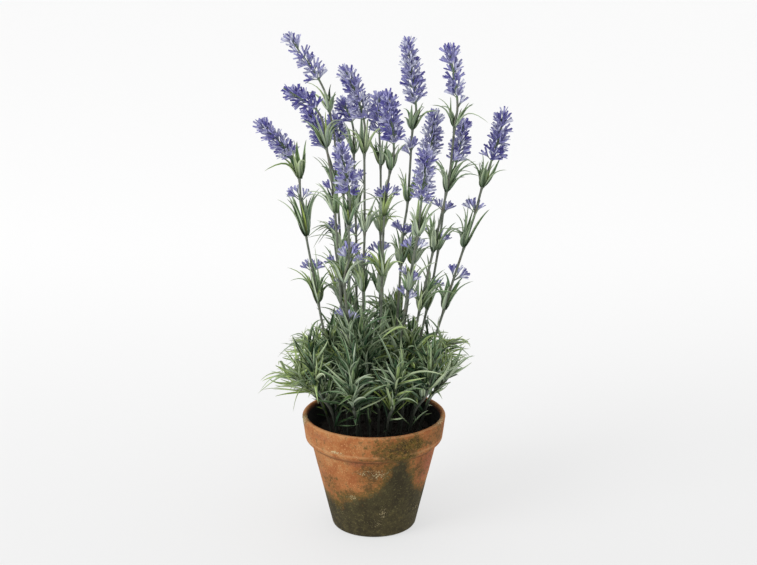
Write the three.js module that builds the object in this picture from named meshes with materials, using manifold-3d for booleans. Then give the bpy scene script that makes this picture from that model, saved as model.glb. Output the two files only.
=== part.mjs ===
// Potted lavender: an aged terracotta pot filled with soil, sixteen leafy flower stems that each
// carry a spike of violet florets, and sixteen low sprays of narrow arching leaves round their feet.
// Millimetres, +Z up, origin at the middle of the pot's underside.
import * as THREE from "three";
import { mergeVertices } from "three/addons/utils/BufferGeometryUtils.js";
import Module from "manifold-3d";

const wasm = await Module();
wasm.setup();

// ---------------------------------------------------------------- driving dimensions
const GAP = 0.3; // clear distance between neighbouring pieces
const FINEST = 0.002; // points closer together than this are one point

const POT_HEIGHT = 107;
const RIM_RADIUS = 65; // outside, at the top of the rim band
const BAND_HEIGHT = 26.5;
const BAND_FOOT_RADIUS = 62.5;
const BODY_TOP_RADIUS = 57; // outside, just under the rim band
const BASE_RADIUS = 38.6;
const WALL = 5.5;
const FLOOR = 7;
const EDGE = 1.6; // worn rounding of the pot's edges
const POT_SIDES = 32;

const SOIL_TOP = 89;
const SOIL_BUMP = 1.3;
const SOIL_SIDES = 16;
const SOIL_RINGS = [26];

const PEG_DEPTH = 11; // how far each stem and stalk stands in the soil
const STEM_RADIUS = 1.3;
const STEM_STEPS = 7;
const STALK_RADIUS = 1.2;
const STALK_STEPS = 3;
const CORE_RADIUS = 1.2;
const CORE_STEPS = 4;
const CORE_SIDES = 3;
const BAND = 1.7; // height of the band of a stem that a ring of leaves grows out of
const BAND_ROOM = 2.2; // bands of a stem stand at least this far apart
const CROSSING = 1e-4; // volume that two leaves of a stem may share
const MOST_SIDEWAYS = 62; // degrees that a leaf may turn from the side of the stem that it leaves
const HOLE_RADIUS = 2.3;
const HOLE_SIDES = 4;

const LEAF_WIDTH = 3.1;
const LEAF_KEEL = 0.9; // thickness under the flat upper face
const LEAF_ROLL = 35; // degrees that a leaf turns about its own length, at most
const LEAF_ARCH = [0.1, 0.24]; // rise of a leaf's middle, as a share of its length
const LEAF_WIDTHS = [0.85, 1.15]; // shares of the width
// Place along the leaf and share of its width, from the root.
const SHORT_LEAF_ROWS = [[0, 0.36], [0.45, 1]];
const LONG_LEAF_ROWS = [[0, 0.36], [0.36, 1], [0.7, 0.66]];
const LEAF_FOOT = 0.2; // how far a leaf's root sits from its stem's axis
const PLAIN_LEAF_WIDTHS = [0.9, 1.15]; // the same for the leaves that the plant shows plainly
const PLAIN_LEAF_ROLL = 40;
const PLAIN_LEAF_DEPTH = 7; // how far their tips stand nearer or farther than their roots, at most
const PLAIN_LEAF_SWAY = 4; // step to the next place for such a tip, where one isn't clear
const STEM_LEAF_LENGTH = [25, 38];
const STEM_LEAF_LIFT = [38, 72]; // degrees above level
const WHORL_LEAVES = 4;
const LOWEST_WHORL = [135, 160]; // between these heights each flower stem has leaves in the mound
const SPRAY_LEAF_LENGTH = [30, 46];
const SPRAY_LEAF_PULL = 8; // degrees by which leaves on the outer side of a spray hang lower
// Place along the stalk, number of leaves, and their angles above level in degrees.
const SPRAY_WHORLS = [
  [0.3, 3, [-10, 20]], [0.5, 4, [-4, 34]], [0.64, 3, [0, 40]],
  [0.76, 4, [4, 46]], [0.88, 4, [10, 60]], [1, 5, [18, 72]],
];

const FLORET_LENGTH = 8.2;
const FLORET_THROAT = 3.8; // height of the funnel's bottom
const FLORET_NOTCH = [4.6, 2.1]; // height and radius of the gaps between its lobes
const FLORET_LOBE = 3.3; // radius of the lobe tips
const NECK_RADIUS = 0.6; // of the stalk of a lone floret, at the stem
const PLAIN_FLORET_SIZES = [0.8, 1]; // shares of the size
const PLAIN_FLORET_DEPTH = 4;
const PLAIN_FLORET_SWAY = 2.5;
const FLORET_RISE = 7.6; // distance between rings of florets along a spike
const RING_FLORETS = 2;
const RING_TURN = 137.5; // degrees from one ring to the next
const RING_SWAY = 14;
const FLORET_SPREAD = [48, 58]; // degrees between a floret and its spike, at the foot of the spike
const FLORET_CLOSING = 26; // degrees by which the spread has shrunk at the tip
const LAST_SPREAD = [2, 8]; // of the floret on the tip
const FLORET_SIZES = [0.92, 1.1]; // shares of the size
const FLORET_SHRINKING = 0.12; // share that the size has lost at the tip

// Flower stems. path: soil, places on the way up, foot of the spike, tip of the spike.
// bloom: height where the spike starts. whorls: height of a ring of leaves, then how far the
// tips of its plainest leaves stand from it in x and z. florets: the same for lone florets.
const STEMS = [
  {
    path: [
      [-26, -5, 89], [-45, -1, 185], [-54, 3, 238], [-60, 5, 272], [-64, 7, 303], [-70, 9, 339],
      [-103, 12, 375],
    ],
    bloom: 339,
    whorls: [
      [323, [-23, 15], [-19, 25], [6, 33]],
      [272, [-29, 29], [-21, 38], [11, 37], [17, 35]],
      [211, [-29, 30], [-25, 23], [-15, 41], [2, 27], [12, 19], [15, 13]],
    ],
    florets: [[303, -9, 7], [303, -5, 11], [302, 4, 10], [238, -7, 10], [239, -3, 7], [238, 6, 10]],
  },
  {
    path: [
      [-20, 10, 89], [-27, 14, 167], [-32, 19, 235], [-35, 21, 268], [-34, 27, 344],
      [-39, 29, 378], [-47, 31, 404], [-76, 35, 446],
    ],
    bloom: 404,
    whorls: [[378, [8, 15], [-16, 27], [-5, 22]], [268, [-21, 6], [-9, 4], [-20, -10]], [214]],
    florets: [
      [380, -5, 14], [381, 2, 8], [295, -6, 9], [270, -3, 10], [235, -7, 12], [234, 3, 10],
      [222, -2, 8],
    ],
  },
  {
    path: [
      [-23, -15, 89], [-29, -22, 220], [-34, -28, 311], [-40, -31, 358], [-47, -33, 389],
      [-80, -35, 412],
    ],
    bloom: 389,
    whorls: [[358, [-11, 32], [9, 25]], [300], [240]],
    florets: [[318, -6, 10], [250, -7, 10]],
  },
  {
    path: [[-15, 3, 89], [-26, 9, 183], [-29, 12, 247], [-33, 16, 310], [-41, 18, 344], [-58, 20, 383]],
    bloom: 344,
    whorls: [[310, [-24, 30], [-13, 28], [13, 23]], [255], [204]],
    florets: [[276, -6, 10]],
  },
  {
    path: [[-13, 24, 89], [-20, 32, 175], [-25, 43, 258], [-31, 55, 342], [-37, 60, 372]],
    bloom: 342,
    whorls: [[300], [236]],
    florets: [[262, 5, 10], [214, -5, 10]],
  },
  {
    path: [
      [-11, -21, 89], [-21, -35, 188], [-25, -46, 243], [-21, -51, 266], [-21, -57, 297],
      [-20, -63, 322], [-27, -75, 370],
    ],
    bloom: 322,
    whorls: [[297, [-10, 26], [11, 25]], [243, [-13, 25], [15, 29]], [193]],
    florets: [[266, -6, 9], [265, 0, 14], [266, 7, 11], [205, -7, 11], [204, 3, 9]],
  },
  {
    path: [
      [-5, -9, 89], [-9, -13, 190], [-9, -16, 248], [-8, -17, 281], [-8, -21, 351], [-8, -22, 378],
      [-18, -24, 411], [-27, -25, 426],
    ],
    bloom: 378,
    whorls: [[351, [7, 28], [-10, 20]], [281, [10, 28], [-11, 23]], [226]],
    florets: [[248, -4, 10], [249, 1, 11], [248, 7, 10], [324, -5, 9]],
  },
  {
    path: [
      [-7, 14, 89], [-15, 26, 177], [-16, 33, 260], [-18, 40, 338], [-19, 43, 364], [-29, 45, 387],
    ],
    bloom: 364,
    whorls: [[338, [-8, 24], [8, 22]], [285], [225]],
    florets: [[262, 1, 11], [263, -6, 9], [312, 6, 10]],
  },
  {
    path: [[4, -19, 89], [6, -26, 194], [9, -37, 300], [14, -42, 341], [17, -44, 361], [12, -50, 408]],
    bloom: 361,
    whorls: [[341, [-10, 19], [10, 17]], [300, [-12, 23], [12, 24]], [245]],
    florets: [[314, -7, 9], [315, 2, 12], [314, 10, 11]],
  },
  {
    path: [[2, 27, 89], [5, 34, 175], [6, 46, 265], [6, 55, 325], [5, 59, 350], [4, 65, 390]],
    bloom: 350,
    whorls: [[325, [-8, 22], [8, 22]], [265], [210]],
    florets: [[243, -4, 10], [244, 6, 9], [290, 5, 10]],
  },
  {
    path: [
      [10, 4, 89], [20, 9, 183], [26, 14, 269], [30, 16, 300], [34, 20, 364], [37, 21, 383],
      [29, 25, 442],
    ],
    bloom: 383,
    whorls: [[364, [-8, 12], [18, 19]], [300, [-11, 24], [14, 26]], [243]],
    florets: [[344, -3, 11], [343, 4, 12], [341, -5, 6], [269, -6, 12], [268, 0, 11], [269, 6, 9]],
  },
  {
    path: [[14, 17, 89], [31, 29, 205], [43, 40, 296], [49, 44, 329], [55, 50, 376]],
    bloom: 329,
    whorls: [[306, [16, 20]], [238]],
    florets: [[262, 6, 10]],
  },
  {
    path: [
      [14, -13, 89], [26, -28, 204], [35, -40, 269], [38, -43, 284], [40, -49, 312],
      [45, -60, 363],
    ],
    bloom: 312,
    whorls: [[284, [18, 25], [-12, 19]], [232]],
    florets: [[266, -5, 13], [267, 6, 12], [240, -6, 12], [239, 6, 9], [222, -4, 12], [221, 6, 10]],
  },
  {
    path: [
      [21, -7, 89], [37, -11, 189], [54, -13, 272], [63, -15, 316], [66, -16, 337], [69, -17, 373],
      [71, -18, 396], [63, -20, 444],
    ],
    bloom: 396,
    whorls: [[373, [-8, 25], [18, 19], [24, 15]], [316], [262], [208]],
    florets: [[389, 6, 10], [340, 6, 10]],
  },
  {
    path: [[23, 11, 89], [48, 23, 198], [58, 29, 252], [65, 36, 305], [73, 39, 327], [81, 45, 369]],
    bloom: 327,
    whorls: [[305, [21, 31], [29, 24], [-7, 30]], [252, [23, 26], [-7, 30]], [198, [-3, 51]]],
    florets: [[286, -4, 11], [285, 5, 9], [254, -3, 15], [253, 5, 14], [214, 6, 10]],
  },
  {
    path: [
      [29, 0, 89], [56, 1, 182], [63, 2, 205], [71, 2, 233], [80, 3, 262], [89, 3, 292],
      [95, 4, 316], [102, 4, 337], [109, 4, 360], [113, 5, 384],
    ],
    bloom: 337,
    whorls: [
      [316, [-1, 28], [21, 21]],
      [262, [2, 39], [27, 33], [-18, 22], [-11, 12]],
      [205, [1, 20], [22, 31]],
    ],
    florets: [[292, -3, 12], [291, 6, 9], [232, -1, 11], [231, 12, 8]],
  },
];

// Sprays: place of the stalk's foot in x and y, then of its top in x, y and z.
const SPRAYS = [
  [-37, -8, -66, -14, 143],
  [-35, 10, -60, 14, 168],
  [-33, 29, -52, 46, 150],
  [-32, -25, -46, -48, 141],
  [-14, -36, -18, -64, 137],
  [10, -36, 18, -63, 138],
  [30, -24, 46, -46, 141],
  [40, -6, 66, -10, 143],
  [38, 14, 66, 14, 166],
  [30, 31, 48, 48, 151],
  [9, 42, 14, 68, 143],
  [-14, 40, -22, 66, 146],
  [-3, -29, -8, -36, 172],
  [-33, -12, -40, -12, 182],
  [24, -20, 34, -26, 177],
  [15, 31, 20, 34, 180],
];

// ---------------------------------------------------------------- helpers
const UP = new THREE.Vector3(0, 0, 1);
const LEANING_UP = new THREE.Vector3(0.3, 0, 1); // never along a stem
const DEGREES = Math.PI / 180;

/** Random numbers from a seed, the same on every run. */
function makeDraw(seed) {
  let state = (seed * 2654435761) % 4294967296;
  return (low, high) => {
    state = (Math.imul(state, 1664525) + 1013904223) >>> 0;
    return low + ((high - low) * state) / 4294967296;
  };
}

/** Unit vector at a compass angle and an angle above level, both in degrees. */
function heading(azimuth, elevation) {
  const level = Math.cos(elevation * DEGREES);
  return new THREE.Vector3(
    level * Math.cos(azimuth * DEGREES),
    level * Math.sin(azimuth * DEGREES),
    Math.sin(elevation * DEGREES),
  );
}

/** Closed solid of a closed geometry. */
function solidOf(geometry) {
  const bare = geometry.clone();
  bare.deleteAttribute("normal");
  bare.deleteAttribute("uv");
  const merged = mergeVertices(bare, FINEST);
  return new wasm.Manifold(new wasm.Mesh({
    numProp: 3,
    vertProperties: new Float32Array(merged.attributes.position.array),
    triVerts: new Uint32Array(merged.index.array),
  }));
}

/** Solid of a list of points and of faces given by their point numbers. */
function solidOfFaces(points, faces) {
  const geometry = new THREE.BufferGeometry().setFromPoints(points);
  geometry.setIndex(faces.flat());
  return solidOf(geometry);
}

/** Geometry of a solid, without points that lie closer together than can be told apart. */
function geometryOf(solid) {
  const mesh = solid.getMesh();
  const geometry = new THREE.BufferGeometry();
  geometry.setAttribute("position", new THREE.BufferAttribute(new Float32Array(mesh.vertProperties), 3));
  geometry.setIndex(new THREE.BufferAttribute(new Uint32Array(mesh.triVerts), 1));
  return mergeVertices(geometry, FINEST);
}

/** Joins solids and keeps the one body that they make, without loose scraps. */
function fuse(solids) {
  const joined = solids.reduce((body, solid) => body.add(solid));
  const bodies = solidOf(geometryOf(joined)).decompose();
  return bodies.reduce((best, scrap) => (scrap.volume() > best.volume() ? scrap : best));
}

/** Round bar along a curve, with flat ends. */
function bar(curve, radius, steps, sides) {
  const section = new THREE.Shape();
  section.setFromPoints(Array.from({ length: sides }, (_, i) => {
    const angle = (2 * Math.PI * i) / sides;
    return new THREE.Vector2(radius * Math.cos(angle), radius * Math.sin(angle));
  }));
  return solidOf(new THREE.ExtrudeGeometry(section, { extrudePath: curve, steps, bevelEnabled: false }));
}

/** Even curve through points. */
function curveThrough(points) {
  return new THREE.CatmullRomCurve3(points.map((p) => new THREE.Vector3(...p)), false, "catmullrom", 0.5);
}

/** The stretch of a rising curve between two heights. */
function stretch(curve, low, high, count) {
  return new THREE.CatmullRomCurve3(
    Array.from({ length: count }, (_, i) => pointAtHeight(curve, low + ((high - low) * i) / (count - 1))),
    false, "catmullrom", 0.5,
  );
}

/** The point of a rising curve at a height. */
function pointAtHeight(curve, height) {
  let [low, high] = [0, 1];
  for (let i = 0; i < 24; i++) {
    const middle = (low + high) / 2;
    if (curve.getPoint(middle).z < height) low = middle;
    else high = middle;
  }
  return curve.getPoint(low);
}

// ---------------------------------------------------------------- room for each piece
// Every stem, leaf and floret is also a string of balls. A new one takes its place only where
// its balls stand clear of the balls of every other node, of the pot and of the soil.
// Near their roots, leaves and florets of one node may touch each other and their stem.
const taken = [];
const BALL_STEP = 2;
const ROOT_ZONE = 5;

function balls(points, radii) {
  const string = [];
  const root = points[0];
  const add = (at, radius) => string.push({ at, radius, free: at.distanceTo(root) > ROOT_ZONE });
  for (let i = 0; i + 1 < points.length; i++) {
    const count = Math.ceil(points[i].distanceTo(points[i + 1]) / BALL_STEP);
    for (let k = 0; k < count; k++) {
      const share = k / count;
      add(points[i].clone().lerp(points[i + 1], share), THREE.MathUtils.lerp(radii[i], radii[i + 1], share));
    }
  }
  add(points.at(-1), radii.at(-1));
  return string;
}

function isClearOfPot({ at, radius }) {
  const reach = Math.hypot(at.x, at.y) + radius;
  const inPot = at.z - radius < POT_HEIGHT + 2 * GAP;
  return !inPot || (reach < RIM_RADIUS - 2 * WALL && at.z - radius > SOIL_TOP + 2 * SOIL_BUMP);
}

function roomBetween(ball, other, sameNode) {
  const touching = ball.radius + other.radius;
  if (!sameNode) return touching + GAP;
  const atRoots = !ball.free && (other.isShaft || !other.free);
  return atRoots ? 0 : touching;
}

function isClear(node, string) {
  return string.every((ball) => isClearOfPot(ball) && taken.every((other) => (
    ball.at.distanceTo(other.at) >= roomBetween(ball, other, other.node === node))));
}

function take(node, string, isShaft = false) {
  string.forEach((ball) => taken.push({ node, isShaft, ...ball }));
}

function shaftBalls(curve, radius) {
  const points = curve.getPoints(40);
  return balls(points, Array(points.length).fill(radius));
}

/** Keeps the first of some tries that stands clear and that its keeper accepts. */
function placeFirstClear(node, tries, makeOne, accept) {
  for (let attempt = 0; attempt < tries; attempt++) {
    const piece = makeOne(attempt);
    if (isClear(node, piece.string) && accept(piece, attempt === tries - 1)) {
      take(node, piece.string);
      return;
    }
  }
}

// ---------------------------------------------------------------- leaves and florets
// A leaf or floret is a shoot: three-cornered rows [left, right, under] from its root outwards, and
// an end that closes it. It grows out of a side of a stem, or stands alone with a closed root.
function rowFaces([left, right, under], [nextLeft, nextRight, nextUnder]) {
  return [
    [left, nextLeft, nextRight], [left, nextRight, right],
    [right, nextRight, nextUnder], [right, nextUnder, under],
    [left, nextUnder, nextLeft], [left, under, nextUnder],
  ];
}

/** Faces of a shoot whose points stand in a list from a first number, and its last row. */
function shootFaces(shoot, first) {
  const rows = shoot.rows.map((_, row) => [0, 1, 2].map((corner) => first + 3 * row + corner));
  const faces = rows.slice(1).flatMap((row, index) => rowFaces(rows[index], row));
  return [...faces, ...shoot.endFaces(rows.at(-1), first + 3 * rows.length)];
}

/** A shoot that stands alone. */
function loneShoot(shoot) {
  const whole = { ...shoot, rows: [shoot.root, ...shoot.rows] };
  return solidOfFaces([...whole.rows.flat(), ...whole.endPoints], [[0, 1, 2], ...shootFaces(whole, 0)]);
}

/** A narrow leaf, flat above and keeled below, that arches from its root to a fine tip. */
function leaf(axis, tip, arch, width, roll, shape) {
  const along = tip.clone().sub(axis);
  const outward = new THREE.Vector3(along.x, along.y, 0).normalize();
  const aside = new THREE.Vector3(-outward.y, outward.x, 0);
  const start = axis.clone().addScaledVector(outward, LEAF_FOOT);
  const middle = axis.clone().addScaledVector(along, 0.5).addScaledVector(UP, arch * along.length());
  const curve = new THREE.QuadraticBezierCurve3(start, middle, tip);
  const rows = shape.map(([place, share]) => {
    const centre = curve.getPoint(place);
    const tangent = curve.getTangent(place);
    const across = aside.clone().applyAxisAngle(tangent, roll * DEGREES);
    const under = tangent.clone().cross(across).negate();
    const half = (width * share) / 2;
    return {
      half,
      centre,
      corners: [
        centre.clone().addScaledVector(across, -half),
        centre.clone().addScaledVector(across, half),
        centre.clone().addScaledVector(under, LEAF_KEEL * Math.min(1, share + 0.2)),
      ],
    };
  });
  const [root, ...others] = rows.map((row) => row.corners);
  return {
    string: balls([...rows.map((row) => row.centre), tip], [...rows.map((row) => row.half + 0.15), 0.3]),
    root,
    rows: others,
    endPoints: [tip],
    endFaces: ([left, right, under], end) => [[left, end, right], [right, end, under], [left, under, end]],
  };
}

/** A floret: a small funnel that opens into pointed lobes, on a neck that starts at its root. */
function floret(root, direction, size, neck = 0) {
  const side = UP.clone().cross(direction).normalize();
  const front = direction.clone().cross(side);
  const at = (height, radius, degrees) => root.clone()
    .addScaledVector(direction, neck + height * size)
    .addScaledVector(side, radius * size * Math.cos(degrees * DEGREES))
    .addScaledVector(front, radius * size * Math.sin(degrees * DEGREES));
  const [right, left, under] = [30, 150, 270].map((angle) => at(FLORET_NOTCH[0], FLORET_NOTCH[1], angle));
  const lobes = [90, 210, 330].map((angle) => at(FLORET_LENGTH, FLORET_LOBE, angle));
  const throat = at(FLORET_THROAT, 0, 0);
  return {
    string: balls([root, at(0, 0, 0), at(FLORET_LENGTH, 0, 0)], [0.8, 0.8, (FLORET_LOBE + 0.2) * size]),
    root: [150, 30, 270].map((angle) => at(-neck / size, NECK_RADIUS / size, angle)),
    rows: [[left, right, under]],
    endPoints: [...lobes, throat],
    endFaces: ([l, r, u], end) => [[r, l], [l, u], [u, r]].flatMap(([from, to], index) => [
      [from, to, end + index], [end + 3, from, end + index], [end + 3, end + index, to],
    ]),
  };
}

/** Middle of some points. */
function middleOf(points) {
  return points.reduce((sum, point) => sum.add(point), new THREE.Vector3()).divideScalar(points.length);
}

/**
 * Faces of a skin between two rings of points, given by their point numbers. Both rings run
 * counterclockwise round the line from the first to the second. Each face is laid where the
 * angles of the rings' points round that line come next, so the skin never crosses itself.
 */
function skinFaces(points, ring, nextRing) {
  const [start, end] = [ring, nextRing].map((numbers) => middleOf(numbers.map((number) => points[number])));
  const line = end.clone().sub(start).normalize();
  const zero = points[ring[0]].clone().sub(start).projectOnPlane(line).normalize();
  const quarter = line.clone().cross(zero);
  const angleOf = (number, middle) => {
    const spoke = points[number].clone().sub(middle);
    return Math.atan2(spoke.dot(quarter), spoke.dot(zero));
  };
  // Each angle is past the one before it, and the last is a full turn past the first.
  const anglesOf = (numbers, middle) => {
    const angles = [...numbers, numbers[0]].map((number) => angleOf(number, middle));
    for (let i = 1; i < angles.length; i++) {
      while (angles[i] <= angles[i - 1]) angles[i] += 2 * Math.PI;
    }
    return angles;
  };
  const offsets = nextRing.map((number) => Math.abs(angleOf(number, end)));
  const shift = offsets.indexOf(Math.min(...offsets));
  const turned = [...nextRing.slice(shift), ...nextRing.slice(0, shift)];
  const [angles, nextAngles] = [anglesOf(ring, start), anglesOf(turned, end)];
  const faces = [];
  let [i, j] = [0, 0];
  while (i < ring.length || j < turned.length) {
    const [here, there] = [ring[i % ring.length], turned[j % turned.length]];
    const isRingNext = j === turned.length
      || (i < ring.length && angles[i] + angles[i + 1] < nextAngles[j] + nextAngles[j + 1]);
    if (isRingNext) {
      i += 1;
      faces.push([here, ring[i % ring.length], there]);
    } else {
      j += 1;
      faces.push([here, turned[j % turned.length], there]);
    }
  }
  return faces;
}

/** Faces that close the bottom and the top of four-cornered rings, one above the other. */
function endFaces(ringCount) {
  const top = 4 * (ringCount - 1);
  return [[0, 3, 2], [0, 2, 1], [top, top + 1, top + 2], [top, top + 2, top + 3]];
}

/** Faces between a ring and the next on one side. */
function wallFaces(row, side) {
  const [left, right] = [4 * row + side, 4 * row + ((side + 1) % 4)];
  return [[left, right, right + 4], [left, right + 4, left + 4]];
}

/** Closed solid of four-cornered rings, one above the other. */
function prism(rings) {
  const sides = rings.slice(1).flatMap((_, row) => [0, 1, 2, 3].flatMap((side) => wallFaces(row, side)));
  return solidOfFaces(rings.flat(), [...endFaces(rings.length), ...sides]);
}

/** A four-sided stem or stalk. Shoots grow out of its sides in narrow bands. */
class Shaft {
  constructor(name, curve, radius, heights) {
    Object.assign(this, { name, curve, radius, heights, bands: [], lone: [] });
  }

  /** Directions that sides 0 and 1 face at a height, and the point in the middle. */
  frame(height) {
    const centre = pointAtHeight(this.curve, height);
    const [above, below] = [1, -1].map((step) => pointAtHeight(this.curve, height + step));
    const tangent = above.sub(below).normalize();
    const first = new THREE.Vector3(1, 0, 0).addScaledVector(tangent, -tangent.x).normalize();
    return { centre, first, second: tangent.clone().cross(first) };
  }

  ring(height) {
    const { centre, first, second } = this.frame(height);
    return [-45, 45, 135, 225].map((angle) => centre.clone()
      .addScaledVector(first, this.radius * Math.cos(angle * DEGREES))
      .addScaledVector(second, this.radius * Math.sin(angle * DEGREES)));
  }

  /** Free sides of a band that a shoot faces, the nearest one first. */
  sidesFacing(band, shoot) {
    const { centre, first, second } = this.frame(band.height);
    const reach = middleOf(shoot.rows[0]).sub(centre);
    const angle = Math.atan2(reach.dot(second), reach.dot(first)) / DEGREES;
    const nearest = Math.round(angle / 90);
    const turned = angle - 90 * nearest;
    const next = nearest + Math.sign(turned);
    const choices = 90 - Math.abs(turned) < MOST_SIDEWAYS ? [nearest, next] : [nearest];
    const distance = Math.hypot(reach.dot(first), reach.dot(second));
    return choices
      .filter((side) => distance * Math.cos((angle - 90 * side) * DEGREES) > this.radius)
      .map((side) => (side + 4) % 4)
      .filter((side) => !band.sides[side]);
  }

  /** The solid that a shoot would be on a side of a band. */
  grown(band, side, shoot) {
    const [low, high] = [-0.5, 0.5].map((share) => this.ring(band.height + share * BAND));
    const corners = [high[side], low[side], low[(side + 1) % 4], high[(side + 1) % 4]];
    const points = [...corners, ...shoot.rows.flat(), ...shoot.endPoints];
    const skin = skinFaces(points, [0, 1, 2, 3], [6, 5, 4]);
    return solidOfFaces(points, [[0, 3, 1], [3, 2, 1], ...skin, ...shootFaces(shoot, 4)]);
  }

  /** Heights of the rings of a shaft that carries some bands. */
  ringHeights(bands) {
    const edges = bands.flatMap((band) => [band.height - BAND / 2, band.height + BAND / 2]);
    const isPlain = (height) => bands.every((band) => Math.abs(band.height - height) > BAND);
    return [...this.heights.filter(isPlain), ...edges].toSorted((a, b) => a - b);
  }

  /** Lets a shoot grow from a side that it faces, if it crosses nothing there. */
  grow(height, shoot) {
    const joined = this.bands.find((band) => Math.abs(band.height - height) < BAND_ROOM);
    const band = joined ?? { height, sides: [null, null, null, null], solids: [] };
    const bare = prism(this.ringHeights([...this.bands, band]).map((level) => this.ring(level)));
    const others = [bare, ...this.bands.flatMap((other) => other.solids)];
    for (const side of this.sidesFacing(band, shoot)) {
      const solid = this.grown(band, side, shoot);
      if (others.every((other) => solid.intersect(other).volume() < CROSSING)) {
        if (!joined) this.bands.push(band);
        band.sides[side] = shoot;
        band.solids.push(solid);
        return true;
      }
    }
    return false;
  }

  /** The same, or else the shoot stands alone and is joined to what it crosses. */
  growOrJoin(height, shoot, isLast) {
    if (this.grow(height, shoot)) return true;
    if (isLast) this.lone.push(loneShoot(shoot));
    return isLast;
  }

  solid() {
    const heights = this.ringHeights(this.bands);
    const points = heights.flatMap((height) => this.ring(height));
    const faces = endFaces(heights.length);
    heights.slice(1).forEach((height, row) => {
      const band = this.bands.find((other) => Math.abs(other.height + BAND / 2 - height) < FINEST);
      for (let side = 0; side < 4; side++) {
        const shoot = band?.sides[side];
        if (shoot) {
          const start = points.length;
          const [left, right] = [4 * row + side, 4 * row + ((side + 1) % 4)];
          points.push(...shoot.rows.flat(), ...shoot.endPoints);
          faces.push(...skinFaces(points, [left + 4, left, right, right + 4], [start + 2, start + 1, start]));
          faces.push(...shootFaces(shoot, start));
        } else {
          faces.push(...wallFaces(row, side));
        }
      }
    });
    return fuse([solidOfFaces(points, faces), ...this.lone]);
  }
}

// ---------------------------------------------------------------- pot and soil
/** Radius inside the pot at a height. */
function innerRadius(height) {
  const share = (height - FLOOR) / (POT_HEIGHT - FLOOR);
  return THREE.MathUtils.lerp(BASE_RADIUS - WALL + 1, RIM_RADIUS - WALL, share);
}

function makePot() {
  const bandFoot = POT_HEIGHT - BAND_HEIGHT;
  const profile = [
    [0, 0],
    [BASE_RADIUS - EDGE, 0],
    [BASE_RADIUS, EDGE],
    [BODY_TOP_RADIUS, bandFoot],
    [BAND_FOOT_RADIUS - EDGE, bandFoot],
    [BAND_FOOT_RADIUS, bandFoot + EDGE],
    [RIM_RADIUS, POT_HEIGHT - EDGE],
    [RIM_RADIUS - EDGE, POT_HEIGHT],
    [RIM_RADIUS - WALL + EDGE, POT_HEIGHT],
    [innerRadius(POT_HEIGHT - EDGE), POT_HEIGHT - EDGE],
    [innerRadius(FLOOR), FLOOR],
    [0, FLOOR],
  ].map(([radius, height]) => new THREE.Vector2(radius, height));
  // A lathe turns its profile about Y, so the finished pot is stood up along Z.
  return solidOf(new THREE.LatheGeometry(profile, POT_SIDES).rotateX(Math.PI / 2));
}

function makeSoil(pegs) {
  const edge = innerRadius(SOIL_TOP) - GAP;
  const profile = [
    [0, FLOOR + GAP],
    [innerRadius(FLOOR) - GAP, FLOOR + GAP],
    [edge, SOIL_TOP],
    ...SOIL_RINGS.toReversed().map((radius) => [radius, SOIL_TOP]),
    [0, SOIL_TOP],
  ].map(([radius, height]) => new THREE.Vector2(radius, height));
  const lathe = new THREE.LatheGeometry(profile, SOIL_SIDES).rotateX(Math.PI / 2);
  const position = lathe.attributes.position;
  for (let i = 0; i < position.count; i++) {
    const [x, y, z] = [position.getX(i), position.getY(i), position.getZ(i)];
    const inside = z > SOIL_TOP - 1 && Math.hypot(x, y) < edge - 1;
    const bump = Math.sin(0.21 * x + 1) * Math.cos(0.17 * y) + 0.5 * Math.sin(0.13 * (x - 2 * y));
    if (inside) position.setZ(i, z + SOIL_BUMP * bump);
  }
  return pegs.reduce((soil, peg) => soil.subtract(peg), solidOf(lathe));
}

// ---------------------------------------------------------------- the plant
const NUMBER_PLACES = 2;

/** Where each kind of piece starts to draw its random numbers. */
const SEEDS = {
  plainLeaf: 9000, plainFloret: 7000, floret: 40000, lowestWhorl: 800, stemLeaf: 100000, sprayLeaf: 300000,
};
const TRIES = { plainLeaf: 13, plainFloret: 9, floret: 8, leaf: 14 };

const numbered = (name, index) => `${name}_${String(index + 1).padStart(NUMBER_PLACES, "0")}`;

/** Adds the buried foot below the first point of a path. */
function withPeg(path) {
  const [x, y, z] = path[0];
  return curveThrough([[x, y, z - PEG_DEPTH - 4], [x, y, z - 2], ...path.slice(1)]);
}

function makeHole(curve) {
  const bottom = pointAtHeight(curve, SOIL_TOP - PEG_DEPTH - 1);
  const top = pointAtHeight(curve, SOIL_TOP + 4 * SOIL_BUMP);
  return bar(new THREE.LineCurve3(bottom, top), HOLE_RADIUS, 1, HOLE_SIDES);
}

/** Evenly spaced heights between two, both of them included. */
function levels(low, high, steps) {
  return Array.from({ length: steps + 1 }, (_, i) => THREE.MathUtils.lerp(low, high, i / steps));
}

const stems = STEMS.map((stem, index) => {
  const curve = withPeg(stem.path);
  const heights = levels(SOIL_TOP - PEG_DEPTH, stem.bloom - GAP, STEM_STEPS);
  return {
    ...stem,
    shaft: new Shaft(numbered("flower_stem", index), curve, STEM_RADIUS, heights),
    spike: numbered("spike", index),
    rachis: stretch(curve, stem.bloom + GAP, stem.path.at(-1)[2] - 3, CORE_STEPS + 1),
  };
});

const sprays = SPRAYS.map(([footX, footY, topX, topY, topZ], index) => {
  const curve = withPeg([
    [footX, footY, SOIL_TOP],
    [footX + 0.38 * (topX - footX), footY + 0.38 * (topY - footY), SOIL_TOP + 0.6 * (topZ - SOIL_TOP)],
    [topX, topY, topZ],
  ]);
  const heights = levels(SOIL_TOP - PEG_DEPTH, topZ, STALK_STEPS);
  return {
    shaft: new Shaft(numbered("spray", index), curve, STALK_RADIUS, heights),
    top: topZ,
    lean: Math.atan2(topY - footY, topX - footX) / DEGREES,
  };
});

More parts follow.
